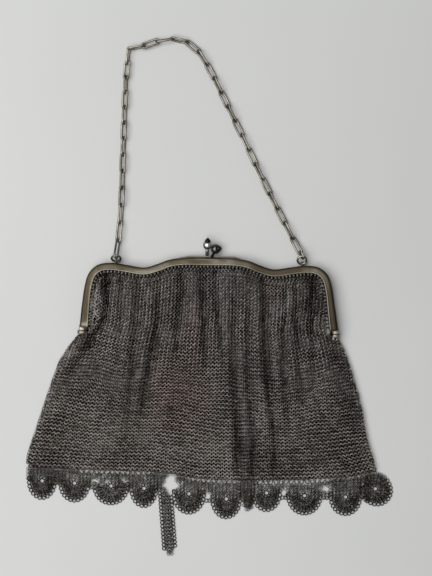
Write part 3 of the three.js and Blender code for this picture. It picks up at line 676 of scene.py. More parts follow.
# Foot of the stem, middle of the ball, the way the cap points, sizes, the painted shade at the ball's
# sides, the painted highlight on its top, and the tone of the stem.
KNOBS = {
    "back": {
        "foot": (-1.3, 43.0, 2.2), "ball": (-1.0, 50.4, 5.9), "point": (0.04, 1.0, 0.35),
        "radius": 2.6, "stem": 1.0, "painted_side_shade": 0.1, "painted_top_light": 0.9, "stem_tone": 0.5,
    },
    "front": {
        "foot": (1.4, 43.0, 6.0), "ball": (3.7, 48.3, 3.0), "point": (0.78, 0.1, 0.6),
        "radius": 2.8, "stem": 0.8, "painted_side_shade": 0.0, "painted_top_light": 0.24, "stem_tone": 0.1,
    },
}


def stem_part(knob):
    foot, way = np.array(knob["foot"]), np.array(knob["ball"]) - np.array(knob["foot"])
    radius = knob["stem"]
    distances = [-STEM_SEAT, 0.0, *(share * np.linalg.norm(way) for share in STEM_SHARES)]
    profile = [(TIP, distances[0]), *((radius, distance) for distance in distances), (TIP, distances[-1])]
    return grid_part(turned(profile, foot, way), knob["stem_tone"])


# The ball is cut flat where the cap sits on it.
def ball_part(knob):
    radius, seat = knob["radius"], CAP_SEAT - GAP
    turn = np.linspace(-np.pi / 2, np.arcsin(seat / radius), BALL_ROWS)
    sphere = np.column_stack([np.cos(turn) + TIP, np.sin(turn)]) * radius
    rows = turned([*sphere, (TIP, seat)], knob["ball"], knob["point"])
    # Painted highlight on top of the ball and painted shade round its sides, by the height of each point.
    height = np.clip((rows[..., 2] - knob["ball"][2]) / radius, 0, 1)
    return grid_part(rows, between(knob["painted_side_shade"], knob["painted_top_light"], 0, 1, height))


def cap_part(knob):
    share = np.linspace(0.0, 1.0, CAP_ROWS)
    dome = np.column_stack([CAP_RADIUS * (1 - share**CAP_BULGE) + TIP, CAP_SEAT + CAP_HEIGHT * share])
    return grid_part(turned([(TIP, CAP_SEAT), *dome], knob["ball"], knob["point"]), CAP_TONE)


for half, knob in KNOBS.items():
    node, parts = f"clasp_knob_{half}", [stem_part(knob), ball_part(knob)]
    add_piece(f"{node}_turned", parts, bright_silver, [node])
    add_piece(f"clasp_cap_{half}", [cap_part(knob)], black_glass, [f"clasp_stone_{half}"])
print("knobs and caps made,", triangles_made, "triangles so far")

# %% The plate
PLATE_LEFT, PLATE_RIGHT, PLATE_RISE, PLATE_POINTS = -16.9, 17.9, 0.8, 41
PLATE_LOW, PLATE_HIGH, PLATE_EDGE = 0.9, 4.6, 0.3
# The plate's tone is raised with painted light, lifting the shade that the bar casts on it.
PLATE_TONE_AND_LIGHT = 0.82
# The plate thins out towards its ends: over this length, down to this share of its rise.
LEFT_TAPER, LEFT_LEAST = 5, 0.25
RIGHT_TAPER, RIGHT_LEAST = 3, 0.3
# The plate's section: share of its rise, and height.
PLATE_SECTION = (
    (0, PLATE_LOW), (1, PLATE_LOW), (1, PLATE_HIGH - PLATE_EDGE), (0.7, PLATE_HIGH), (0, PLATE_HIGH)
)
plate_x = np.linspace(PLATE_LEFT, PLATE_RIGHT, PLATE_POINTS)
plate_y = np.interp(plate_x, outer_edge[:, 0], outer_edge[:, 1]) + GAP
left_end = np.clip((plate_x - PLATE_LEFT) / LEFT_TAPER, LEFT_LEAST, 1)
right_end = np.clip((PLATE_RIGHT - plate_x) / RIGHT_TAPER, RIGHT_LEAST, 1)
plate_rise = PLATE_RISE * left_end * right_end
plate_lines = []
for share, z in PLATE_SECTION:
    plate_lines.append(np.column_stack([plate_x, plate_y + share * plate_rise, np.full(PLATE_POINTS, z)]))
plate_part = grid_part(with_ends(np.stack(plate_lines, axis=1)), PLATE_TONE_AND_LIGHT)
add_piece("clasp_plate_strip", [plate_part], frame_silver, ["clasp_plate"])
print("clasp made,", triangles_made, "triangles so far")

# %% [markdown]
# ## The shape of the bag
# The mesh hangs from the inside of the arch, falls into upright folds and spreads towards its lower
# edge. Cloth simulation could find such a shape, but ring mesh is heavy and stiff across its folds,
# and the photograph shows where each fold lies. So the front is a height field: a swell that rises
# from the edges, less a soft valley for every fold. Each valley is given by its place and depth at
# four levels between the frame and the lower edge.

# %% Outline
CORNER_Y, FOOT_Y = 31.6, -80.0
BLEND_STEPS, BLEND_SHARE = (-14.0, -7.0, 0.0, 7.0, 14.0), 0.16
# Sections from the frame's corners to the border: height, left edge, right edge, height of the crown.
SECTION_Y, SECTION_LEFT, SECTION_RIGHT, SECTION_CROWN = np.array([
    (31.6, -65.2, 65.2, 7.4), (24, -66.6, 66.6, 8.2), (14, -68, 68, 8.6), (4, -68.5, 68.5, 8.6),
    (-1.7, -68.6, 68.6, 8.6), (-2.5, -70.6, 70.4, 8.6), (-3.6, -75.4, 75.4, 8.6), (-9, -79.8, 78.4, 8.5),
    (-18, -85.4, 82, 8.2), (-30, -89.6, 85.8, 7.2), (-44, -94, 89.6, 5.9), (-60, -99, 92.6, 4.9),
    (-73, -103, 96.6, 4.3), (-80, -103.4, 98.8, 3.8),
]).T
# The lower edge: share of the width from the left, and height.
FOOT_SHARE, FOOT_HEIGHT = np.array([
    (0, -79.5), (0.2, -80.6), (0.36, -81), (0.41, -82), (0.5, -84.8),
    (0.62, -85.4), (0.78, -84.4), (0.92, -82.6), (1, -79),
]).T
mouth_line = arch + arch_inward * (arch_band[:, None] / 2 + GAP)


# An edge of the bag at a level, and the same edge blended over the levels above and below.
def edge_at(level, edge):
    return np.interp(-level, -SECTION_Y, edge)


def blended_edge(level, edge):
    return np.mean([edge_at(level + step, edge) for step in BLEND_STEPS], axis=0)


# The places of one row of the mesh in plan, from the left edge to the right. Inside, the columns of
# rings follow the blended edges, so the sudden step under the hinges moves only the rings beside it.
def row_plan(down, share):
    level = CORNER_Y + (FOOT_Y - CORNER_Y) * down
    left, right = blended_edge(level, SECTION_LEFT), blended_edge(level, SECTION_RIGHT)
    near_left, near_right = [1 - smoothstep(near, 0.0, BLEND_SHARE) for near in (share, 1 - share)]
    x = left + (right - left) * share
    x = x + (edge_at(level, SECTION_LEFT) - left) * near_left
    x = x + (edge_at(level, SECTION_RIGHT) - right) * near_right
    corner_x = SECTION_LEFT[0] + (SECTION_RIGHT[0] - SECTION_LEFT[0]) * share
    mouth = np.interp(corner_x, mouth_line[:, 0], mouth_line[:, 1])
    foot = np.interp(share, FOOT_SHARE, FOOT_HEIGHT)
    return x, mouth + (foot - mouth) * down, level, mouth


print("the bag is", round(SECTION_RIGHT[-1] - SECTION_LEFT[-1], 1), "mm wide at its foot")

# %% Swell and folds
WALL = 1.2
# Height of the front's edges between the legs of the frame and below them, and the levels where they
# drop from the one to the other.
AT_FRAME_Z, AT_EDGE_Z = 6.6, 2.9
EDGE_DROP_FROM, EDGE_DROP_TO = 2.0, -14.0
# How far from the sides and from the frame the swell reaches its full height.
SIDE_BULGE, TOP_BULGE = 15.0, 9.0
BACK_Z = 0.95
# Rows sag in the folds by this share of the fold's depth.
FOLD_SAG = 0.3
# Between the legs of the frame a fold keeps at least this share of its depth right to the edge.
FOLD_AT_FRAME = 0.35
# Over this last share of the way down the front sinks to the back, to this height.
MEETING, MEETING_Z = 0.09, 1.9
FOLD_LEVELS = np.array([24.4, 4.1, -22.0, -62.6])
# Folds from left to right: place at the four levels, depth at the four levels, and half width.
FOLDS = np.array([
    (-58.9, -61.0, -79.7, -84.9, 3.4, 3.2, 1.2, 0.0, 2.4),
    (-49.7, -49.9, -51.9, -55.9, 1.6, 1.2, 0.2, 0.0, 2.4),
    (-40.4, -41.8, -42.6, -45.5, 1.2, 1.8, 1.4, 0.4, 2.6),
    (-28.2, -28.5, -33.9, -38.5, 1.0, 2.2, 2.6, 0.0, 2.6),
    (-14.9, -16.9, -18.2, -17.6, 2.2, 2.4, 0.0, 0.0, 2.4),
    (-3.8, -1.8, -0.3, 0.9, 2.2, 2.2, 0.3, 0.0, 2.4),
    (4.3, 6.9, 10.8, 13.7, 2.2, 2.0, 0.5, 0.0, 2.2),
    (15.9, 14.4, 14.8, 18.9, 1.0, 2.0, 2.2, 2.2, 2.2),
    (24.0, 23.7, 23.0, 27.6, 0.3, 1.4, 1.6, 1.7, 2.0),
    (32.1, 33.0, 34.6, 40.4, 2.0, 2.8, 2.4, 1.2, 2.4),
    (45.5, 44.0, 44.4, 48.5, 1.2, 2.0, 1.5, 0.0, 2.3),
    (50.7, 51.0, 53.7, 57.2, 1.6, 2.2, 0.8, 0.0, 2.3),
    (60.5, 60.3, 61.8, 64.7, 2.8, 1.8, 0.3, 0.0, 2.3),
])


def fold_depth(x, y):
    total = np.zeros(len(x))
    for places, depths, half_width in zip(FOLDS[:, 0:4], FOLDS[:, 4:8], FOLDS[:, 8]):
        place = np.interp(-y, -FOLD_LEVELS, places)
        depth = np.interp(-y, -FOLD_LEVELS, depths)
        total += depth * np.exp(-(((x - place) / half_width) ** 2))
    return total


# One row of the front, as points in the middle of the mesh's thickness.
def front_row(down, share):
    x, y, level, mouth = row_plan(down, share)
    width = x[-1] - x[0]
    side = smoothstep(np.minimum(share, 1 - share) * width, 0.0, SIDE_BULGE)
    swell = side * smoothstep(mouth - y, 0.0, TOP_BULGE)
    hang = smoothstep(level, EDGE_DROP_TO, EDGE_DROP_FROM)
    edge = AT_EDGE_Z + (AT_FRAME_Z - AT_EDGE_Z) * hang
    crown = np.interp(-level, -SECTION_Y, SECTION_CROWN)
    valley = fold_depth(x, y) * np.minimum(1.0, swell + FOLD_AT_FRAME * hang)
    meeting = smoothstep(1 - down, 0.0, MEETING)
    z = np.maximum(edge + (crown - edge) * swell - valley - WALL / 2, MEETING_Z)
    z = MEETING_Z + (z - MEETING_Z) * meeting
    return np.stack([x, y - FOLD_SAG * valley * (1 - down), z], axis=1)


def back_row(down, share):
    x, y, _, _ = row_plan(down, share)
    return np.stack([x, y, np.full(len(x), BACK_Z)], axis=1)


FINE_SHARES = np.linspace(0.0, 1.0, 601)
NEAR_HINGES = 0.3
hinge_row = front_row(NEAR_HINGES, FINE_SHARES)
print("a row near the hinges is", round(path_length(hinge_row)[-1]), "mm long over its folds")

# %% [markdown]
# ## The ring mesh
# In this weave every ring passes through four others. Rows of rings lean to opposite sides in turn, and
# each row is shifted by half a ring, which gives the zigzag lines that the eye follows. Near the frame
# the rings lean mostly sideways, which shows as upright columns, and further down they lean up and
# down. Twenty thousand torus objects would stop Blender, and a bump map has no holes, so the rings are
# worked out together as arrays: for each ring a middle, a direction across, a direction down the row and
# a lean. One circle of wire is then copied to all of them at once and stored as a few large meshes. The
# rings overlap as in the weave, but they aren't threaded one by one. The raised half of every ring gets
# a painted highlight and the sunken half painted shade.

# %% Many rings at once
# Painted light and shade on a ring: how much the tone rises towards the raised side and falls towards
# the sunken side, and the height where it is full.
RING_LIGHT_AND_SHADE, LIGHT_AND_SHADE_HEIGHT = 0.52, 0.36


# Rings at the given middles. Across and down are unit directions in each ring's own plane, and face
# is the outer side of the mesh, towards which a ring gets painted light, with painted shade away from it.
def weave(middles, across, down, face, tone, size, wire, stretch=1.0, segments=8, sides=3):
    count = len(middles)
    normal = np.cross(across, down)
    turn = np.arange(segments) * 2 * np.pi / segments
    wind = np.arange(sides) * 2 * np.pi / sides
    size = np.broadcast_to(size, count)[:, None, None]
    wire = np.broadcast_to(wire, count)[:, None, None, None]
    to_side = np.cos(turn)[None, :, None] * across[:, None, :]
    to_foot = np.sin(turn)[None, :, None] * down[:, None, :]
    line = middles[:, None, :] + size * (to_side + stretch * to_foot)
    outward = (to_side + to_foot)[:, :, None, :]
    section = np.cos(wind)[:, None] * outward + np.sin(wind)[:, None] * normal[:, None, None, :]
    points = (line[:, :, None, :] + section * wire / 2).reshape(-1, 3)
    each = grid_faces(segments, sides, True, True)
    faces = (each[None] + np.arange(count)[:, None, None] * segments * sides).reshape(-1, CORNERS)
    tones = np.repeat(np.broadcast_to(tone, count), segments * sides)
    off_sheet = points - np.repeat(middles, segments * sides, axis=0)
    face = np.repeat(np.broadcast_to(face, (count, 3)), segments * sides, axis=0)
    # Painted highlight on the side of each ring towards the face, painted shade on the side away from it.
    lift = (off_sheet * face).sum(axis=1) / LIGHT_AND_SHADE_HEIGHT
    return points, faces, tones + RING_LIGHT_AND_SHADE * np.clip(lift, -1, 1)


one_ring = weave(np.zeros((1, 3)), ACROSS[None], UP_CHAIN[None], HIGH, tone=0.5, size=1.0, wire=0.4)
print("one ring has", len(one_ring[0]), "points and", len(one_ring[1]), "faces")

# %% Rows
TOP_STEP, FOOT_STEP = 0.96, 1.14
COLUMN_LENGTH = 121.0
# Shares of the way down where the two sheets begin and end.
FRONT_FROM, BACK_FROM, SHEETS_TO = 0.02, 0.006, 0.99
ROW_SAG = 3.0
# Waves along the rows: height, waves per row, and how fast they shift down the bag.
ROW_WAVES = ((0.8, 2.3, 1.1), (0.5, 4.7, -1.9), (0.3, 8.9, 3.1))


# The rows' shares of the way down. The rows stand closer near the frame than at the foot.
def row_downs(first_down):
    downs = [first_down]
    while downs[-1] < SHEETS_TO:
        step = TOP_STEP + (FOOT_STEP - TOP_STEP) * downs[-1]
        downs.append(downs[-1] + step / COLUMN_LENGTH)
    return downs


# How far a row hangs below its even place. Rows sag towards the middle of the bag like a hammock,
# and handwork makes them wander a little. At the top and at the foot they don't sag.
def row_sag(down, share):
    sag = ROW_SAG * 4 * share * (1 - share)
    for height, waves, slant in ROW_WAVES:
        sag = sag + height * np.sin(2 * np.pi * (waves * share + slant * down))
    return sag * 4 * down * (1 - down) / COLUMN_LENGTH


print("rows:", len(row_downs(FRONT_FROM)), "on the front,", len(row_downs(BACK_FROM)), "on the back")

# %% Rings along the rows
TOP_PITCH, FOOT_PITCH = 2.05, 2.45
# Radius and wire of a ring as shares of the pitch.
TOP_SIZE, FOOT_SIZE = 0.42, 0.44
TOP_WIRE, FOOT_WIRE = 0.17, 0.18
# Rows lean to one side and the other in turn, and all of them are tilted a little the same way.
TOP_LEAN, FOOT_LEAN = np.radians(13.0), np.radians(12.0)
TOP_TILT, FOOT_TILT = np.radians(4.0), np.radians(2.0)
# The lean is turned sideways down to the first share of the way, and no longer from the second.
TOP_TURN = np.radians(58.0)
SIDEWAYS_TO, UPRIGHT_FROM = 0.2, 0.6
HAND_DISORDER, PLACE_DISORDER = 0.1, 0.06
# Here the rings lie loosely: middle x, middle y, half width, half height, more disorder.
LOOSE_AREAS = ((-64.0, 14.0, 4.0, 9.0, 0.4),)
# Below this share of the way down the folds are pressed flat. The columns there keep their places.
MEASURED_TO = 0.88
# Most columns on each side of the middle, and room at the ends of a row as a share of the pitch.
MOST_COLUMNS, END_ROOM = 60, 0.3
# How far above and below a row the direction down the bag is measured.
DOWN_PROBE = 0.005
chance = np.random.default_rng(31)


# The directions of each ring, leaning by an angle, with the small disorder of handwork. A turn of zero
# leans a ring down the row, a quarter turn leans it sideways.
def leaning(across, down, angle, turn=0.0, disorder=HAND_DISORDER):
    across, down = unit(across), unit(down)
    normal = unit(np.cross(across, down))
    towards = down * np.cos(turn) + across * np.sin(turn)
    axis = across * np.cos(turn) - down * np.sin(turn)
    angle = (angle + chance.normal(0.0, 1.0, len(across)) * disorder)[:, None]
    return axis, towards * np.cos(angle) + normal * np.sin(angle), normal


def along_field(wanted, length, field):
    return np.column_stack([np.interp(wanted, length, column) for column in field.T])


# Distances along a row for its rings, counted from the middle of the row.
def ring_distances(length, pitch, offset):
    middle = np.interp(0.5, FINE_SHARES, length)
    wanted = middle + (np.arange(-MOST_COLUMNS, MOST_COLUMNS + 1) + offset) * pitch
    return wanted[(wanted > END_ROOM * pitch) & (wanted < length[-1] - END_ROOM * pitch)]


def sheet_rings(row_points, first_down, shift):
    rows = []
    for k, down in enumerate(row_downs(first_down)):
        sagged = down + row_sag(down, FINE_SHARES)
        line = row_points(sagged, FINE_SHARES)
        lower, upper = [row_points(sagged + probe, FINE_SHARES) for probe in (DOWN_PROBE, -DOWN_PROBE)]
        length = path_length(row_points(np.minimum(sagged, MEASURED_TO), FINE_SHARES))
        pitch = between(TOP_PITCH, FOOT_PITCH, 0, 1, down)
        wanted = ring_distances(length, pitch, 0.5 * (k % 2) + shift)
        fields = (line, unit(np.gradient(line, axis=0)), lower - upper)
        place, across, below = [along_field(wanted, length, field) for field in fields]
        place = place + chance.normal(0.0, PLACE_DISORDER, place.shape) * (1.0, 1.0, 0.0)
        across = unit(across)
        below = unit(below - across * (below * across).sum(axis=1, keepdims=True))
        lean = (1 - 2 * (k % 2)) * between(TOP_LEAN, FOOT_LEAN, 0, 1, down)
        lean += between(TOP_TILT, FOOT_TILT, 0, 1, down)
        size = pitch * between(TOP_SIZE, FOOT_SIZE, 0, 1, down)
        wire = pitch * between(TOP_WIRE, FOOT_WIRE, 0, 1, down)
        sizes = [np.full(len(place), number) for number in (size, wire)]
        turn = TOP_TURN * (1 - smoothstep(down, SIDEWAYS_TO, UPRIGHT_FROM))
        disorder = HAND_DISORDER + area_change(place, LOOSE_AREAS)
        rows.append((place, *leaning(across, below, lean, turn, disorder), *sizes))
    return [np.concatenate(column) for column in zip(*rows)]


print("rings stand", TOP_PITCH, "mm apart near the frame and", FOOT_PITCH, "mm at the foot")

# %% [markdown]
# ## Tarnish, painted light and shade on the rings
# The mesh is dark grey-brown with a sheen where the folds stand up. Beside the left leg a patch of
# rings carries a painted reflection, bright and silver, with a painted shadow along the fold to its
# right, and a few areas are warmer and redder. A painted picture would have to be as fine as the rings.
# Instead each ring gets its own tone: a random part, so that neighbours differ, a part from a short list
# of round areas, and a darker part in the valleys of the folds, which is painted shade with some
# tarnish where no hand rubs.

# %% Tones by place
MESH_TONE, MESH_TONE_SPREAD, DARKEST = 0.475, 0.08, 0.02
# Darker rings in the fold valleys and lighter ones on the ridges: painted shade and light, with some
# tarnish.
FOLD_SHADE_AND_TARNISH, MEAN_FOLD = 0.08, 0.7
# Areas that differ, among them a painted reflection and a painted shadow: middle x, middle y, half
# width, half height, change.
TONE_AREAS = (
    # Painted reflection: the bright patch beside the left leg.
    (-64.4, 14.6, 3.6, 8.4, 0.4),
    # Painted shadow along the fold to the right of that patch.
    (-59.4, 15.0, 1.6, 11.0, -0.2),
    (-62.0, 29.0, 7.0, 6.0, -0.14),
    (-83.0, -10.8, 1.6, 3.2, 0.35),
    (-72.0, -50.0, 40.0, 30.0, -0.08),
    (62.0, -30.0, 40.0, 60.0, -0.07),
    (-7.0, -44.0, 22.0, 30.0, -0.02),
    (-72.0, -6.0, 7.0, 6.0, -0.12),
    (60.0, 24.0, 10.0, 14.0, -0.12),
    (23.0, -84.0, 5.5, 20.0, -0.15),
    (-95.0, -84.0, 16.0, 7.0, -0.14),
)
BAG_WARMTH, BORDER_WARMTH = 0.18, 0.05
WARM_AREAS = (
    (-9.4, 10.0, 8.0, 26.0, 0.5),
    (-16.0, -36.0, 16.0, 20.0, 0.55),
    (34.4, 28.0, 4.0, 9.0, 0.5),
    # Takes the warmth out of the painted reflection beside the left leg, so that it stays silver.
    (-64.6, 15.6, 4.0, 9.4, -0.45),
)


def ring_tones(middles, valley=MEAN_FOLD):
    tones = chance.normal(MESH_TONE, MESH_TONE_SPREAD, len(middles))
    # Painted shade in the fold valleys, with some tarnish, and lighter ridges.
    tones += area_change(middles, TONE_AREAS) + FOLD_SHADE_AND_TARNISH * (MEAN_FOLD - valley)
    return np.clip(tones, DARKEST, 1.0)


def add_rings(name, parts, nodes, warmth=BORDER_WARMTH):
    piece = add_piece(name, parts, ring_metal, nodes)
    places = np.concatenate([points for points, _, _ in parts])
    store_numbers(piece.data, "warm", np.clip(warmth + area_change(places, WARM_AREAS), 0, 1))


print(len(TONE_AREAS), "areas differ in tone and", len(WARM_AREAS), "in warmth")

# %% [markdown]
# ## Front and back
# The bag has two sheets of mesh: the folded front, and a plain back that lies on the table. One sheet
# bent round would join them without a seam, but the back is hardly seen and can be simpler, so each is
# filled with rings by itself. The back's rings have fewer corners and thicker wire, so that the table
# doesn't shine through both sheets. Their darker tone is painted shade, with some tarnish, for the inside
# of the bag, and their upper side, which faces the inside, is painted darker still. A sheet is stored as
# two or three pieces of even size.

# %% The front and the back
# Size and wire are shares of the front's, and outside is the way that the sheet looks, up or down.
SHEETS = {
    "mesh_front": {
        "rows": front_row, "from": FRONT_FROM, "shift": 0.0, "outside": 1, "pieces": 3, "segments": 8,
        "size": 1.0, "wire": 1.0, "tone": 0.0,
    },
    "mesh_back": {
        "rows": back_row, "from": BACK_FROM, "shift": 0.5, "outside": -1, "pieces": 2, "segments": 6,
        # The back's lower tone is painted shade, with some tarnish, for the inside of the bag.
        "size": 1.1, "wire": 1.7, "tone": -0.35,
    },
}


def add_sheet(name, sheet):
    middles, across, down, normal, size, wire = sheet_rings(sheet["rows"], sheet["from"], sheet["shift"])
    face = normal * np.sign(normal[:, 2:]) * sheet["outside"]
    tones = ring_tones(middles, fold_depth(middles[:, 0], middles[:, 1])) + sheet["tone"]
    rings = (middles, across, down, face, tones, size * sheet["size"], wire * sheet["wire"])
    for number, chosen in enumerate(np.array_split(np.arange(len(middles)), sheet["pieces"]), start=1):
        part = weave(*[field[chosen] for field in rings], segments=sheet["segments"])
        add_rings(f"{name}_{number}", [part], ["mesh_bag"], BAG_WARMTH)
    print(name, "has", len(middles), "rings")


for name, sheet in SHEETS.items():
    add_sheet(name, sheet)

# %% [markdown]
# ## Edges of the bag
# Along the frame, upright rings pass through holes in the lip and hold the mesh. From above they look
# like short posts with dark gaps between them. Down the two sides, rings link the front to the back.
# An array modifier on a curve could set them out, but the weaving helper is there already, and it needs
# only a middle and two directions for each ring.

# %% Rings along the frame
HOLD_STEP, HOLD_SIZE, HOLD_WIRE, HOLD_INSET = 2.1, 1.3, 0.5, 0.5
HOLD_LEAN, HOLD_TONE = np.radians(24.0), 0.38
# Heights of the rings on the front bar and on the back bar.
HOLD_HEIGHTS = (6.5, 1.8)
ROUND_SEGMENTS = 10


def frame_rings(height):
    edge = arch + arch_inward * (arch_band[:, None] / 2 + HOLD_INSET)
    length = path_length(edge)
    distances = np.arange(HOLD_STEP / 2, length[-1], HOLD_STEP)
    place, inward = along_field(distances, length, edge), along_field(distances, length, arch_inward)
    count = len(distances)
    inward = unit(np.column_stack([inward, np.zeros(count)]))
    along = np.cross(HIGH, inward)
    leaned = HIGH * np.cos(HOLD_LEAN) + along * np.sin(HOLD_LEAN)
    middles = np.column_stack([place, np.full(count, height)])
    rings = (middles, inward, leaned, HIGH, HOLD_TONE, HOLD_SIZE, HOLD_WIRE)
    return weave(*rings, segments=ROUND_SEGMENTS)


edge_parts = [frame_rings(height) for height in HOLD_HEIGHTS]
print("rings along the frame have", sum(len(part[1]) for part in edge_parts), "faces")

# %% Rings down the sides
SIDE_SIZE, SIDE_WIRE, SIDE_Z = 1.05, 0.55, 1.6
SIDE_LEAN = np.radians(40.0)
# The rings start below the hinges and end at the border: shares of the way down.
SIDE_FROM, SIDE_TO, SIDE_STEP = 0.33, 0.985, 0.0165


# The edge is a share of the row, so 0 is the left side of the bag and 1 the right.
def side_rings(edge, outward):
    downs = np.arange(SIDE_FROM, SIDE_TO, SIDE_STEP)
    places = np.array([row_plan(down, np.array([edge]))[0:2] for down in downs])[:, :, 0]
    middles = np.column_stack([places, np.full(len(downs), SIDE_Z)])
    way = unit(np.gradient(middles, axis=0))
    across = np.tile(outward * ACROSS * np.cos(SIDE_LEAN) + HIGH * np.sin(SIDE_LEAN), (len(downs), 1))
    return weave(middles, across, way, HIGH, ring_tones(middles), SIDE_SIZE, SIDE_WIRE)


edge_parts += [side_rings(0.0, -1), side_rings(1.0, 1)]
add_rings("mesh_edge_rings", edge_parts, ["mesh_bag"], BAG_WARMTH)
print("bag made,", triangles_made, "triangles so far")

# %% [markdown]
# ## The border
# Under the bag runs a row of open links through which the table shows, then a band of mesh, and from
# the band hang half-round scallops. A flat sheet with a cut-out picture could stand in for it from far
# away, but it would have no thickness and nothing to catch the light, so every ring is real here too.
# Two helpers set them out: one for larger rings that lie flat and open, and one for fine rings that
# lean, in two layers. The lower layer is the back of the border, painted black as shade so that the gaps
# look dark, and where it has gone the table shows through.

# %% Flat rings and leaning rings
BORDER_Z, LAYER_DROP, FLAT_Z = 1.3, 0.55, 0.6
FINE_PITCH, FINE_STEP, FINE_SIZE, FINE_WIRE = 2.05, 0.98, 0.85, 0.36
FINE_LEAN = np.radians(11.0)
# The lower layer's tone: painted shade, black, so that the gaps above it look dark.
LOWER_LAYER_SHADE, LOWER_SEGMENTS = 0.0, 6


# Rings lying flat, through which the table shows.
def flat_rings(places, tone, size, wire, stretch=1.0, slant=0.0):
    count = len(places)
    middles = np.column_stack([places, np.full(count, FLAT_Z)])
    angle = np.broadcast_to(slant, count)[:, None]
    across = np.cos(angle) * ACROSS + np.sin(angle) * UP_CHAIN
    down = np.cross(HIGH, across)
    return weave(middles, across, down, HIGH, tone, size, wire, stretch, ROUND_SEGMENTS)


# Two layers of leaning rings at places in plan, with a direction across for each. The lower layer
# is the back of the border. It is painted black as shade and moved by the given shift, and can be left
# out at some places, where the table then shows through.
def border_rings(places, across, shift, number, tone, lined=slice(None), turn=0.0):
    count = len(places)
    across = unit(np.column_stack([across, np.zeros(count)]))
    middles = np.column_stack([places, np.full(count, BORDER_Z)])
    lean = FINE_LEAN * (1 - 2 * (number % 2))
    across, leaned, _ = leaning(across, np.cross(across, HIGH), lean, turn)
    upper = weave(middles, across, leaned, HIGH, ring_tones(middles) + tone, FINE_SIZE, FINE_WIRE)
    behind = [field[lined] for field in (middles + (*shift, -LAYER_DROP), across, leaned)]
    lower = weave(*behind, HIGH, LOWER_LAYER_SHADE, FINE_SIZE, FINE_WIRE, segments=LOWER_SEGMENTS)
    return [upper, lower]


print("rings of the border stand", FINE_PITCH, "mm apart in rows", FINE_STEP, "mm apart")

# %% [markdown]
# ## Scallops
# In a scallop the columns of rings run out from a small open ring at its middle like the ribs of a fan,
# and its rim is a row of larger rings. The seventh scallop is folded edge-on and shows neither. One
# scallop could be made and then copied, but on the old purse no two are quite alike. So each was
# measured, a short table holds the sizes, and the same few functions fill every scallop with rings.
# Near the middle some ribs are left out, because there is no room for all of them.

# %% Where the scallops hang
# Scallops from left to right: middle of the upper edge, half width, drop, turn in degrees, rise of the
# small hole over the upper edge, and how far the rim reaches up beside the hole, in half turns.
SCALLOPS = (
    (-95, -89.4, 8.5, 9.3, 0, 1.9, 0.06), (-76.2, -89.9, 9.2, 10, 0, 1.3, 0.06),
    (-55.0, -91.9, 10.8, 9.3, 0, 2.0, 0.06), (-35.9, -92.2, 8.1, 10.3, 0, 1.2, 0.06),
    (-9.8, -94.4, 9.8, 11.5, 0, 0.6, 0.06), (11.9, -96.7, 9, 11.6, 0, 0.2, 0.06),
    (24.3, -95.6, 3.4, 7.8, 0, 2.5, 0.06), (35.2, -93.2, 8.8, 10.6, 0, 0.6, 0.06),
    (57.2, -94.1, 10.5, 11.3, 0, 0.2, 0.06), (81.0, -94.8, 9.6, 10.6, 0, 0.5, 0.06),
    (98.2, -89.3, 9.6, 10.8, 46, 0.0, -0.04),
)
ARC_POINTS = 81


def turned_by(points, degrees):
    angle = np.radians(degrees)
    turn = np.array([[np.cos(angle), np.sin(angle)], [-np.sin(angle), np.cos(angle)]])
    return points @ turn


def arc_row(half, reach, spread, share):
    angle = np.linspace(-spread, 1 + spread, ARC_POINTS) * np.pi
    return share * np.column_stack([-half * np.cos(angle), -reach * np.sin(angle)])


def scallop_middle(x, y, degrees, rise):
    return np.array([x, y]) + turned_by(np.array([[0.0, rise]]), degrees)[0]


print("a row of", len(SCALLOPS), "scallops hangs from the border")

# %% Ribs, rims and collars
FAN_TONE = -0.24
# Ribs are this far apart, measured at this share of the way out to the edge.
RIB_STEP, RIB_LEVEL = 1.05, 0.72
# Near the middle there is no room for all ribs: where every fourth, second and other rib begins, as
# shares of the scallop's reach.
RIB_STARTS = (0.0, 0.56, 0.34, 0.56)
# Room that a rib leaves at its end, for the rim or only for the edge.
RIM_ROOM, EDGE_ROOM = 2.6, 0.9
RIM_STEP, RIM_INSET, RIM_SIZE, RIM_WIRE, RIM_TONE = 2.15, 1.25, 0.95, 0.62, 0.05
RIM_FROM, RIM_TO = 0.02, 0.98
# Radius of the open ring, and of the place that is kept free for it.
HOLE_SIZE, HOLE_ROOM = 1.2, 3.0
# Rings round the open ring. The lower layer lies under the ring that is this many places further on.
COLLAR_RADIUS, COLLAR_RINGS, COLLAR_SHIFT = 2.15, 7, 4
# The scallop at the right end is nearly a full round. The smallest is folded edge-on and shows neither
# its open ring nor its rim.
ROUND_SCALLOP, ALL_ROUND = 11, 0.5
SMALLEST_OPEN = 5.0


def rib_parts(middle, half, reach, degrees, spread, edge_spread):
    edge = arc_row(half, reach, edge_spread, 1.0)
    length = path_length(edge)[-1]
    ribs = int(length * RIB_LEVEL / RIB_STEP)
    tips = along_path(edge, (np.arange(ribs) + 0.5) / ribs * length)
    has_rim = half > SMALLEST_OPEN
    under_rim = has_rim & (tips[:, 1] < reach * np.sin(np.pi * spread))
    rooms = np.where(under_rim, RIM_ROOM, EDGE_ROOM)
    inner = HOLE_ROOM if has_rim else FINE_SIZE
    parts = []
    for k, (tip, room) in enumerate(zip(turned_by(tips, degrees), rooms)):
        out = np.linalg.norm(tip)
        way = tip / out
        beside = np.array([-way[1], way[0]])
        first = max(inner, RIB_STARTS[k % len(RIB_STARTS)] * out)
        last = out - room - (k % 2) * FINE_PITCH / 2
        if last > first:
            distances = np.linspace(last, first, int(np.ceil((last - first) / FINE_PITCH)) + 1)
            places = middle + way * distances[:, None]
            parts += border_rings(places, np.tile(way, (len(places), 1)), beside * RIB_STEP, k, FAN_TONE)
    return parts


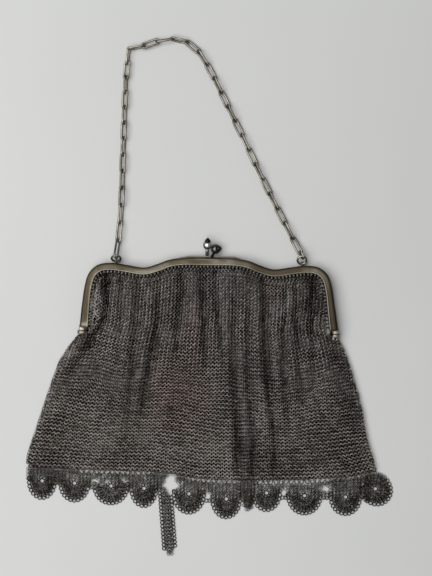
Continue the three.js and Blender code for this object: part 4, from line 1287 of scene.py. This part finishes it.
# The rim, and the open ring in the middle.
def rim_parts(middle, half, reach, degrees, spread):
    rim = arc_row(half, reach, spread, 1 - RIM_INSET / reach)
    length = path_length(rim)[-1]
    places = along_path(rim, np.linspace(RIM_FROM, RIM_TO, int(length / RIM_STEP)) * length)
    return [
        flat_rings(turned_by(places, degrees) + middle, RIM_TONE, RIM_SIZE, RIM_WIRE),
        flat_rings(middle[None], RIM_TONE, HOLE_SIZE, RIM_WIRE),
    ]


def collar_parts(middle):
    turn = np.arange(COLLAR_RINGS) * 2 * np.pi / COLLAR_RINGS
    around = np.column_stack([np.cos(turn), np.sin(turn)])
    parts = []
    for k in range(COLLAR_RINGS):
        shift = COLLAR_RADIUS * (around[(k + COLLAR_SHIFT) % COLLAR_RINGS] - around[k])
        place = middle + COLLAR_RADIUS * around[k : k + 1]
        parts += border_rings(place, around[k : k + 1], shift, k, FAN_TONE)
    return parts


def scallop_parts(number, x, y, half, drop, degrees, rise, spread):
    middle = scallop_middle(x, y, degrees, rise)
    outline = (middle, half, drop + rise, degrees, spread)
    parts = rib_parts(*outline, ALL_ROUND if number == ROUND_SCALLOP else spread)
    if half > SMALLEST_OPEN:
        parts += rim_parts(*outline) + collar_parts(middle)
    return parts


for number, scallop in enumerate(SCALLOPS, start=1):
    node = f"scallop_{number:02d}"
    add_rings(f"{node}_rings", scallop_parts(number, *scallop), [node])
print("scallops made,", triangles_made, "triangles so far")

# %% [markdown]
# ## The band and its holes
# The rings of the band stand in upright ribs above the scallops, and a row of open links ties the band to
# the bag. The border is torn between the fourth and the fifth scallop, and smaller holes have opened
# beside some of the others. A boolean cut would slice through wire. In a real tear whole rings are
# missing, so each kind of hole is a small function that says which places lie in it, and the rings at
# those places are left out.

# %% Holes in the border
# The tear is a hole with four points: its middle, its half sizes, and the curve of its edges.
TEAR_X, TEAR_Y, TEAR_HALF_WIDTH, TEAR_HALF_HEIGHT = -20.3, -88.4, 5.0, 8.0
TEAR_CURVE = 0.88
# Small holes where the scallops have come apart from the band: place and radius.
PARTED = np.array([
    (-63.7, -87.6, 1.9), (-57.3, -87.9, 1.4), (-47.4, -87.7, 1.4), (1.4, -94.5, 1.9),
    (45.4, -91.8, 1.9), (69.2, -89.8, 1.9),
])
# The band keeps out of the scallops: square of the share of the reach that counts as inside, how far
# under the middle that begins, and the square for the round scallop.
FAN_SHARE, FAN_TOP, ROUND_SHARE = 0.9, 0.3, 0.6


def inside_scallop(places):
    inside = np.zeros(len(places), dtype=bool)
    for number, (x, y, half, drop, degrees, rise, _) in enumerate(SCALLOPS, start=1):
        off = turned_by(places - scallop_middle(x, y, degrees, rise), -degrees)
        away = (off[:, 0] / half) ** 2 + (off[:, 1] / (drop + rise)) ** 2
        if number == ROUND_SCALLOP:
            inside |= away < ROUND_SHARE
        else:
            inside |= (away < FAN_SHARE) & (off[:, 1] < -FAN_TOP)
    return inside


def inside_rounds(places, middles, radius):
    off = places[:, None, :] - middles
    return (np.hypot(off[..., 0], off[..., 1]) < radius).any(axis=1)


def inside_tear(places):
    across = np.abs(places[:, 0] - TEAR_X) / TEAR_HALF_WIDTH
    upright = np.abs(places[:, 1] - TEAR_Y) / TEAR_HALF_HEIGHT
    return across**TEAR_CURVE + upright**TEAR_CURVE < 1


open_rings = np.array([
    scallop_middle(x, y, degrees, rise)
    for x, y, half, _, degrees, rise, _ in SCALLOPS if half > SMALLEST_OPEN
])


def in_the_open(places):
    parted = inside_rounds(places, PARTED[:, 0:2], PARTED[:, 2])
    return inside_tear(places) | parted | inside_rounds(places, open_rings, HOLE_ROOM)


print(len(PARTED), "small holes and", len(open_rings), "open rings")

# %% Bands and open links
BANDS = {
    "left": {"from": -103.2, "to": -20.3, "slope": 0.0, "lining": -1, "scallops": SCALLOPS[0:4]},
    "right": {"from": -20.3, "to": 91.5, "slope": 6.6, "lining": 1, "scallops": SCALLOPS[4:10]},
}
BAND_ROWS, BAND_OVERLAP, BAND_TONE = 16, 0.2, -0.06
# The rings of the band lean almost sideways, which shows as upright ribs.
BAND_TURN = np.radians(75.0)
OPEN_STEP, OPEN_SIZE, OPEN_STRETCH, OPEN_WIRE, OPEN_TONE = 3.0, 0.95, 1.7, 0.7, 0.2
OPEN_SLANT, OPEN_DISORDER = np.radians(30.0), np.radians(12.0)
CLOSED_GAP, OPEN_GAP, LINKS_FROM = 0.3, 2.6, 0.32
# The share of the lower layer that has gone where the open row is pulled fully apart.
LACY_SHARE = 0.35
# How far the open row is pulled apart, by place along the lower edge.
OPEN_X, OPEN_SHARE = np.array([
    (-104, 0.0), (-78, 0.1), (-72, 0.75), (-34, 0.75), (-27, 0.2), (-14, 0.3), (-6, 0.8), (17, 0.8),
    (20, 0.0), (27, 0.0), (30, 1.0), (68, 1.0), (74, 0.4), (84, 0.3), (90, 0.7), (99, 0.7),
]).T
# Under three of the small holes a pair of rings still ties the scallops together.
TIES = np.array([(1.4, -97.6), (45.4, -95.2), (69.3, -94.9)])


def foot_height(x):
    share = (x - SECTION_LEFT[-1]) / (SECTION_RIGHT[-1] - SECTION_LEFT[-1])
    return np.interp(share, FOOT_SHARE, FOOT_HEIGHT)


def band_rows(band):
    stations = [(edge, y) for x, y, half, *_ in band["scallops"] for edge in (x - half, x + half)]
    station_x, station_y = np.array(stations).T
    half_ring = np.array([band["lining"] * FINE_PITCH / 2, 0.0])
    parts = []
    for k in range(BAND_ROWS):
        x = np.arange(band["from"] + (1 + k % 2) * FINE_PITCH / 2, band["to"] + band["slope"], FINE_PITCH)
        pulled = np.interp(x, OPEN_X, OPEN_SHARE)
        foot = foot_height(x)
        y = foot - (CLOSED_GAP + OPEN_GAP * pulled) - (k + 0.5) * FINE_STEP
        lowest = np.interp(x, station_x, station_y)
        last = band["to"] - FINE_SIZE + band["slope"] * (y - lowest) / (foot - lowest)
        places = np.column_stack([x, y])
        kept = (y > lowest - BAND_OVERLAP) & (x < last) & ~inside_scallop(places) & ~in_the_open(places)
        lined = (chance.random(len(x)) > LACY_SHARE * pulled) & ~in_the_open(places + half_ring)
        across = np.tile((1.0, 0.0), (kept.sum(), 1))
        parts += border_rings(places[kept], across, half_ring, k, BAND_TONE, lined[kept], BAND_TURN)
    return parts


def open_links(band):
    x = np.arange(band["from"] + FINE_SIZE, band["to"] + band["slope"] - FINE_SIZE, OPEN_STEP)
    x = x[np.interp(x, OPEN_X, OPEN_SHARE) > LINKS_FROM]
    places = np.column_stack([x, foot_height(x) - OPEN_GAP / 2])
    slants = OPEN_SLANT * chance.choice((-1, 1), len(x)) + chance.normal(0.0, OPEN_DISORDER, len(x))
    return flat_rings(places, OPEN_TONE, OPEN_SIZE, OPEN_WIRE, OPEN_STRETCH, slants)


def tie_rings(band):
    ties = TIES[(TIES[:, 0] > band["from"]) & (TIES[:, 0] < band["to"])]
    pairs = np.concatenate([ties - (RIM_SIZE, 0.0), ties + (RIM_SIZE, 0.0)])
    return flat_rings(pairs, RIM_TONE, RIM_SIZE, RIM_WIRE)


def filled(parts):
    return [part for part in parts if len(part[0])]


for name, band in BANDS.items():
    node = f"border_band_{name}"
    add_rings(f"{node}_rings", filled([*band_rows(band), open_links(band), tie_rings(band)]), [node])
print("bands made,", triangles_made, "triangles so far")

# %% [markdown]
# ## The torn strip
# Under the tear a narrow strip of mesh hangs loose, with larger rings down both of its sides. It could
# be bent from a sheet with a modifier, but it hangs nearly straight, so its rows follow a line between
# two measured points. They grow shorter at the end, where the strip has frayed.

# %% The torn strip
STRIP_TOP, STRIP_FOOT = np.array([-23.5, -92.4]), np.array([-20.2, -128.6])
STRIP_HALF, STRIP_COLUMNS = 4.3, 3
STRIP_PITCH, STRIP_STEP = 1.8, 1.0
# Towards its end the strip is torn narrower: over this length, and by this much on each side.
TORN_LENGTH, TORN_SIDE = 4.0, 1.2
# How much of the rim is missing at the end, on the one side and on the other.
RIM_ENDS = {-1: 3.2, 1: 4.4}
STRIP_ROOM, STRIP_RIM_INSET, STRIP_RIM_SIZE, STRIP_TONE = 2.4, 1.1, 0.9, -0.06


def strip_parts():
    length = np.linalg.norm(STRIP_FOOT - STRIP_TOP)
    way = (STRIP_FOOT - STRIP_TOP) / length
    beside = np.array([-way[1], way[0]])
    parts = []
    for k in range(int(length / STRIP_STEP)):
        distance = (k + 0.5) * STRIP_STEP
        torn = np.clip((distance - length + TORN_LENGTH) / TORN_LENGTH, 0, 1)
        offsets = (np.arange(-STRIP_COLUMNS, STRIP_COLUMNS + 1) + 0.5 * (k % 2)) * STRIP_PITCH
        inner = STRIP_HALF - STRIP_ROOM
        offsets = offsets[np.abs(offsets) < inner - TORN_SIDE * torn]
        if len(offsets):
            places = STRIP_TOP + way * distance + beside * offsets[:, None]
            places = places[~inside_tear(places)]
            across = np.tile(beside, (len(places), 1))
            parts += border_rings(places, across, way * STRIP_STEP, k, STRIP_TONE)
    for side, left_out in RIM_ENDS.items():
        distance = np.arange(length - left_out, 0.0, -RIM_STEP)[:, None]
        places = STRIP_TOP + way * distance + beside * side * (STRIP_HALF - STRIP_RIM_INSET)
        places = places[~inside_tear(places)]
        parts.append(flat_rings(places, RIM_TONE, STRIP_RIM_SIZE, RIM_WIRE))
    return filled(parts)


add_rings("torn_strip_rings", strip_parts(), ["torn_strip"])
print("all rings made,", triangles_made, "triangles added in all")

# %% [markdown]
# ## Table and light
# The purse lies on a plain pale table under soft light. Polished things show the lamps around them, and
# the knobs of the photographed purse show one wide light above and to the left, with a dim room around
# it. A picture of a room could light the scene, but one large panel gives just that light, with soft
# shadows and a table that is brighter on the left.

# %% Table
# The table lies a tenth of a millimetre low, so that flat undersides don't lie in its surface.
TABLE_SIZE, TABLE_Z = 3.0, -0.0001
table_paint = plain_finish(
    "pale_table_paint", (0.68, 0.685, 0.67), (0.73, 0.735, 0.72),
    cloud_scale=3.0, cloud_detail=8.0, roughness=0.75, specular=0.5,
)
bpy.ops.mesh.primitive_plane_add(size=TABLE_SIZE, location=(0.0, 0.0, TABLE_Z))
table = bpy.context.object
table.name = "table_top"
table.data.materials.append(table_paint)
print("table of", TABLE_SIZE, "m with", table_paint.name)

# %% Lamp and surroundings
LAMP_PLACE = (-0.72, 0.05, 1.15)
LAMP_SIZE, LAMP_WATTS = 1.6, 21.5
ROOM_COLOR, ROOM_STRENGTH = (0.95, 0.98, 1.0, 1.0), 0.14

lamp = bpy.data.lights.new("panel_above", "AREA")
lamp.size = LAMP_SIZE
lamp.energy = LAMP_WATTS
holder = bpy.data.objects.new("panel_above", lamp)
holder.location = LAMP_PLACE
bpy.context.collection.objects.link(holder)
world = bpy.data.worlds.new("room_light")
world.use_nodes = True
background = world.node_tree.nodes["Background"]
background.inputs["Color"].default_value = ROOM_COLOR
background.inputs["Strength"].default_value = ROOM_STRENGTH
bpy.context.scene.world = world
bpy.context.scene.view_settings.view_transform = "Standard"
print("lamp of", LAMP_WATTS, "watts,", LAMP_SIZE, "m wide")

# %% [markdown]
# ## Camera
# The photograph looks straight down, turned by less than a degree. The height of the camera can't be
# told, but a thing as flat as this looks nearly the same from any height, so it is set to one metre. The
# lens has to cover the height of the picture from there, so its focal length follows from the sensor
# height and that view height.

# %% Camera
VIEW_MIDDLE = (0.00196, 0.005)
CAMERA_HEIGHT = 1.0
VIEW_HEIGHT = 0.3341
SENSOR_HEIGHT = 24.0
PHOTO_TURN = np.radians(0.85)

camera_data = bpy.data.cameras.new("photo_camera")
camera_data.sensor_fit = "VERTICAL"
camera_data.sensor_height = SENSOR_HEIGHT
camera_data.lens = SENSOR_HEIGHT * CAMERA_HEIGHT / VIEW_HEIGHT
camera = bpy.data.objects.new("photo_camera", camera_data)
camera.location = (*VIEW_MIDDLE, CAMERA_HEIGHT)
camera.rotation_euler = (0.0, 0.0, PHOTO_TURN)
bpy.context.collection.objects.link(camera)
bpy.context.scene.camera = camera
print("lens of", round(camera_data.lens, 1), "mm")
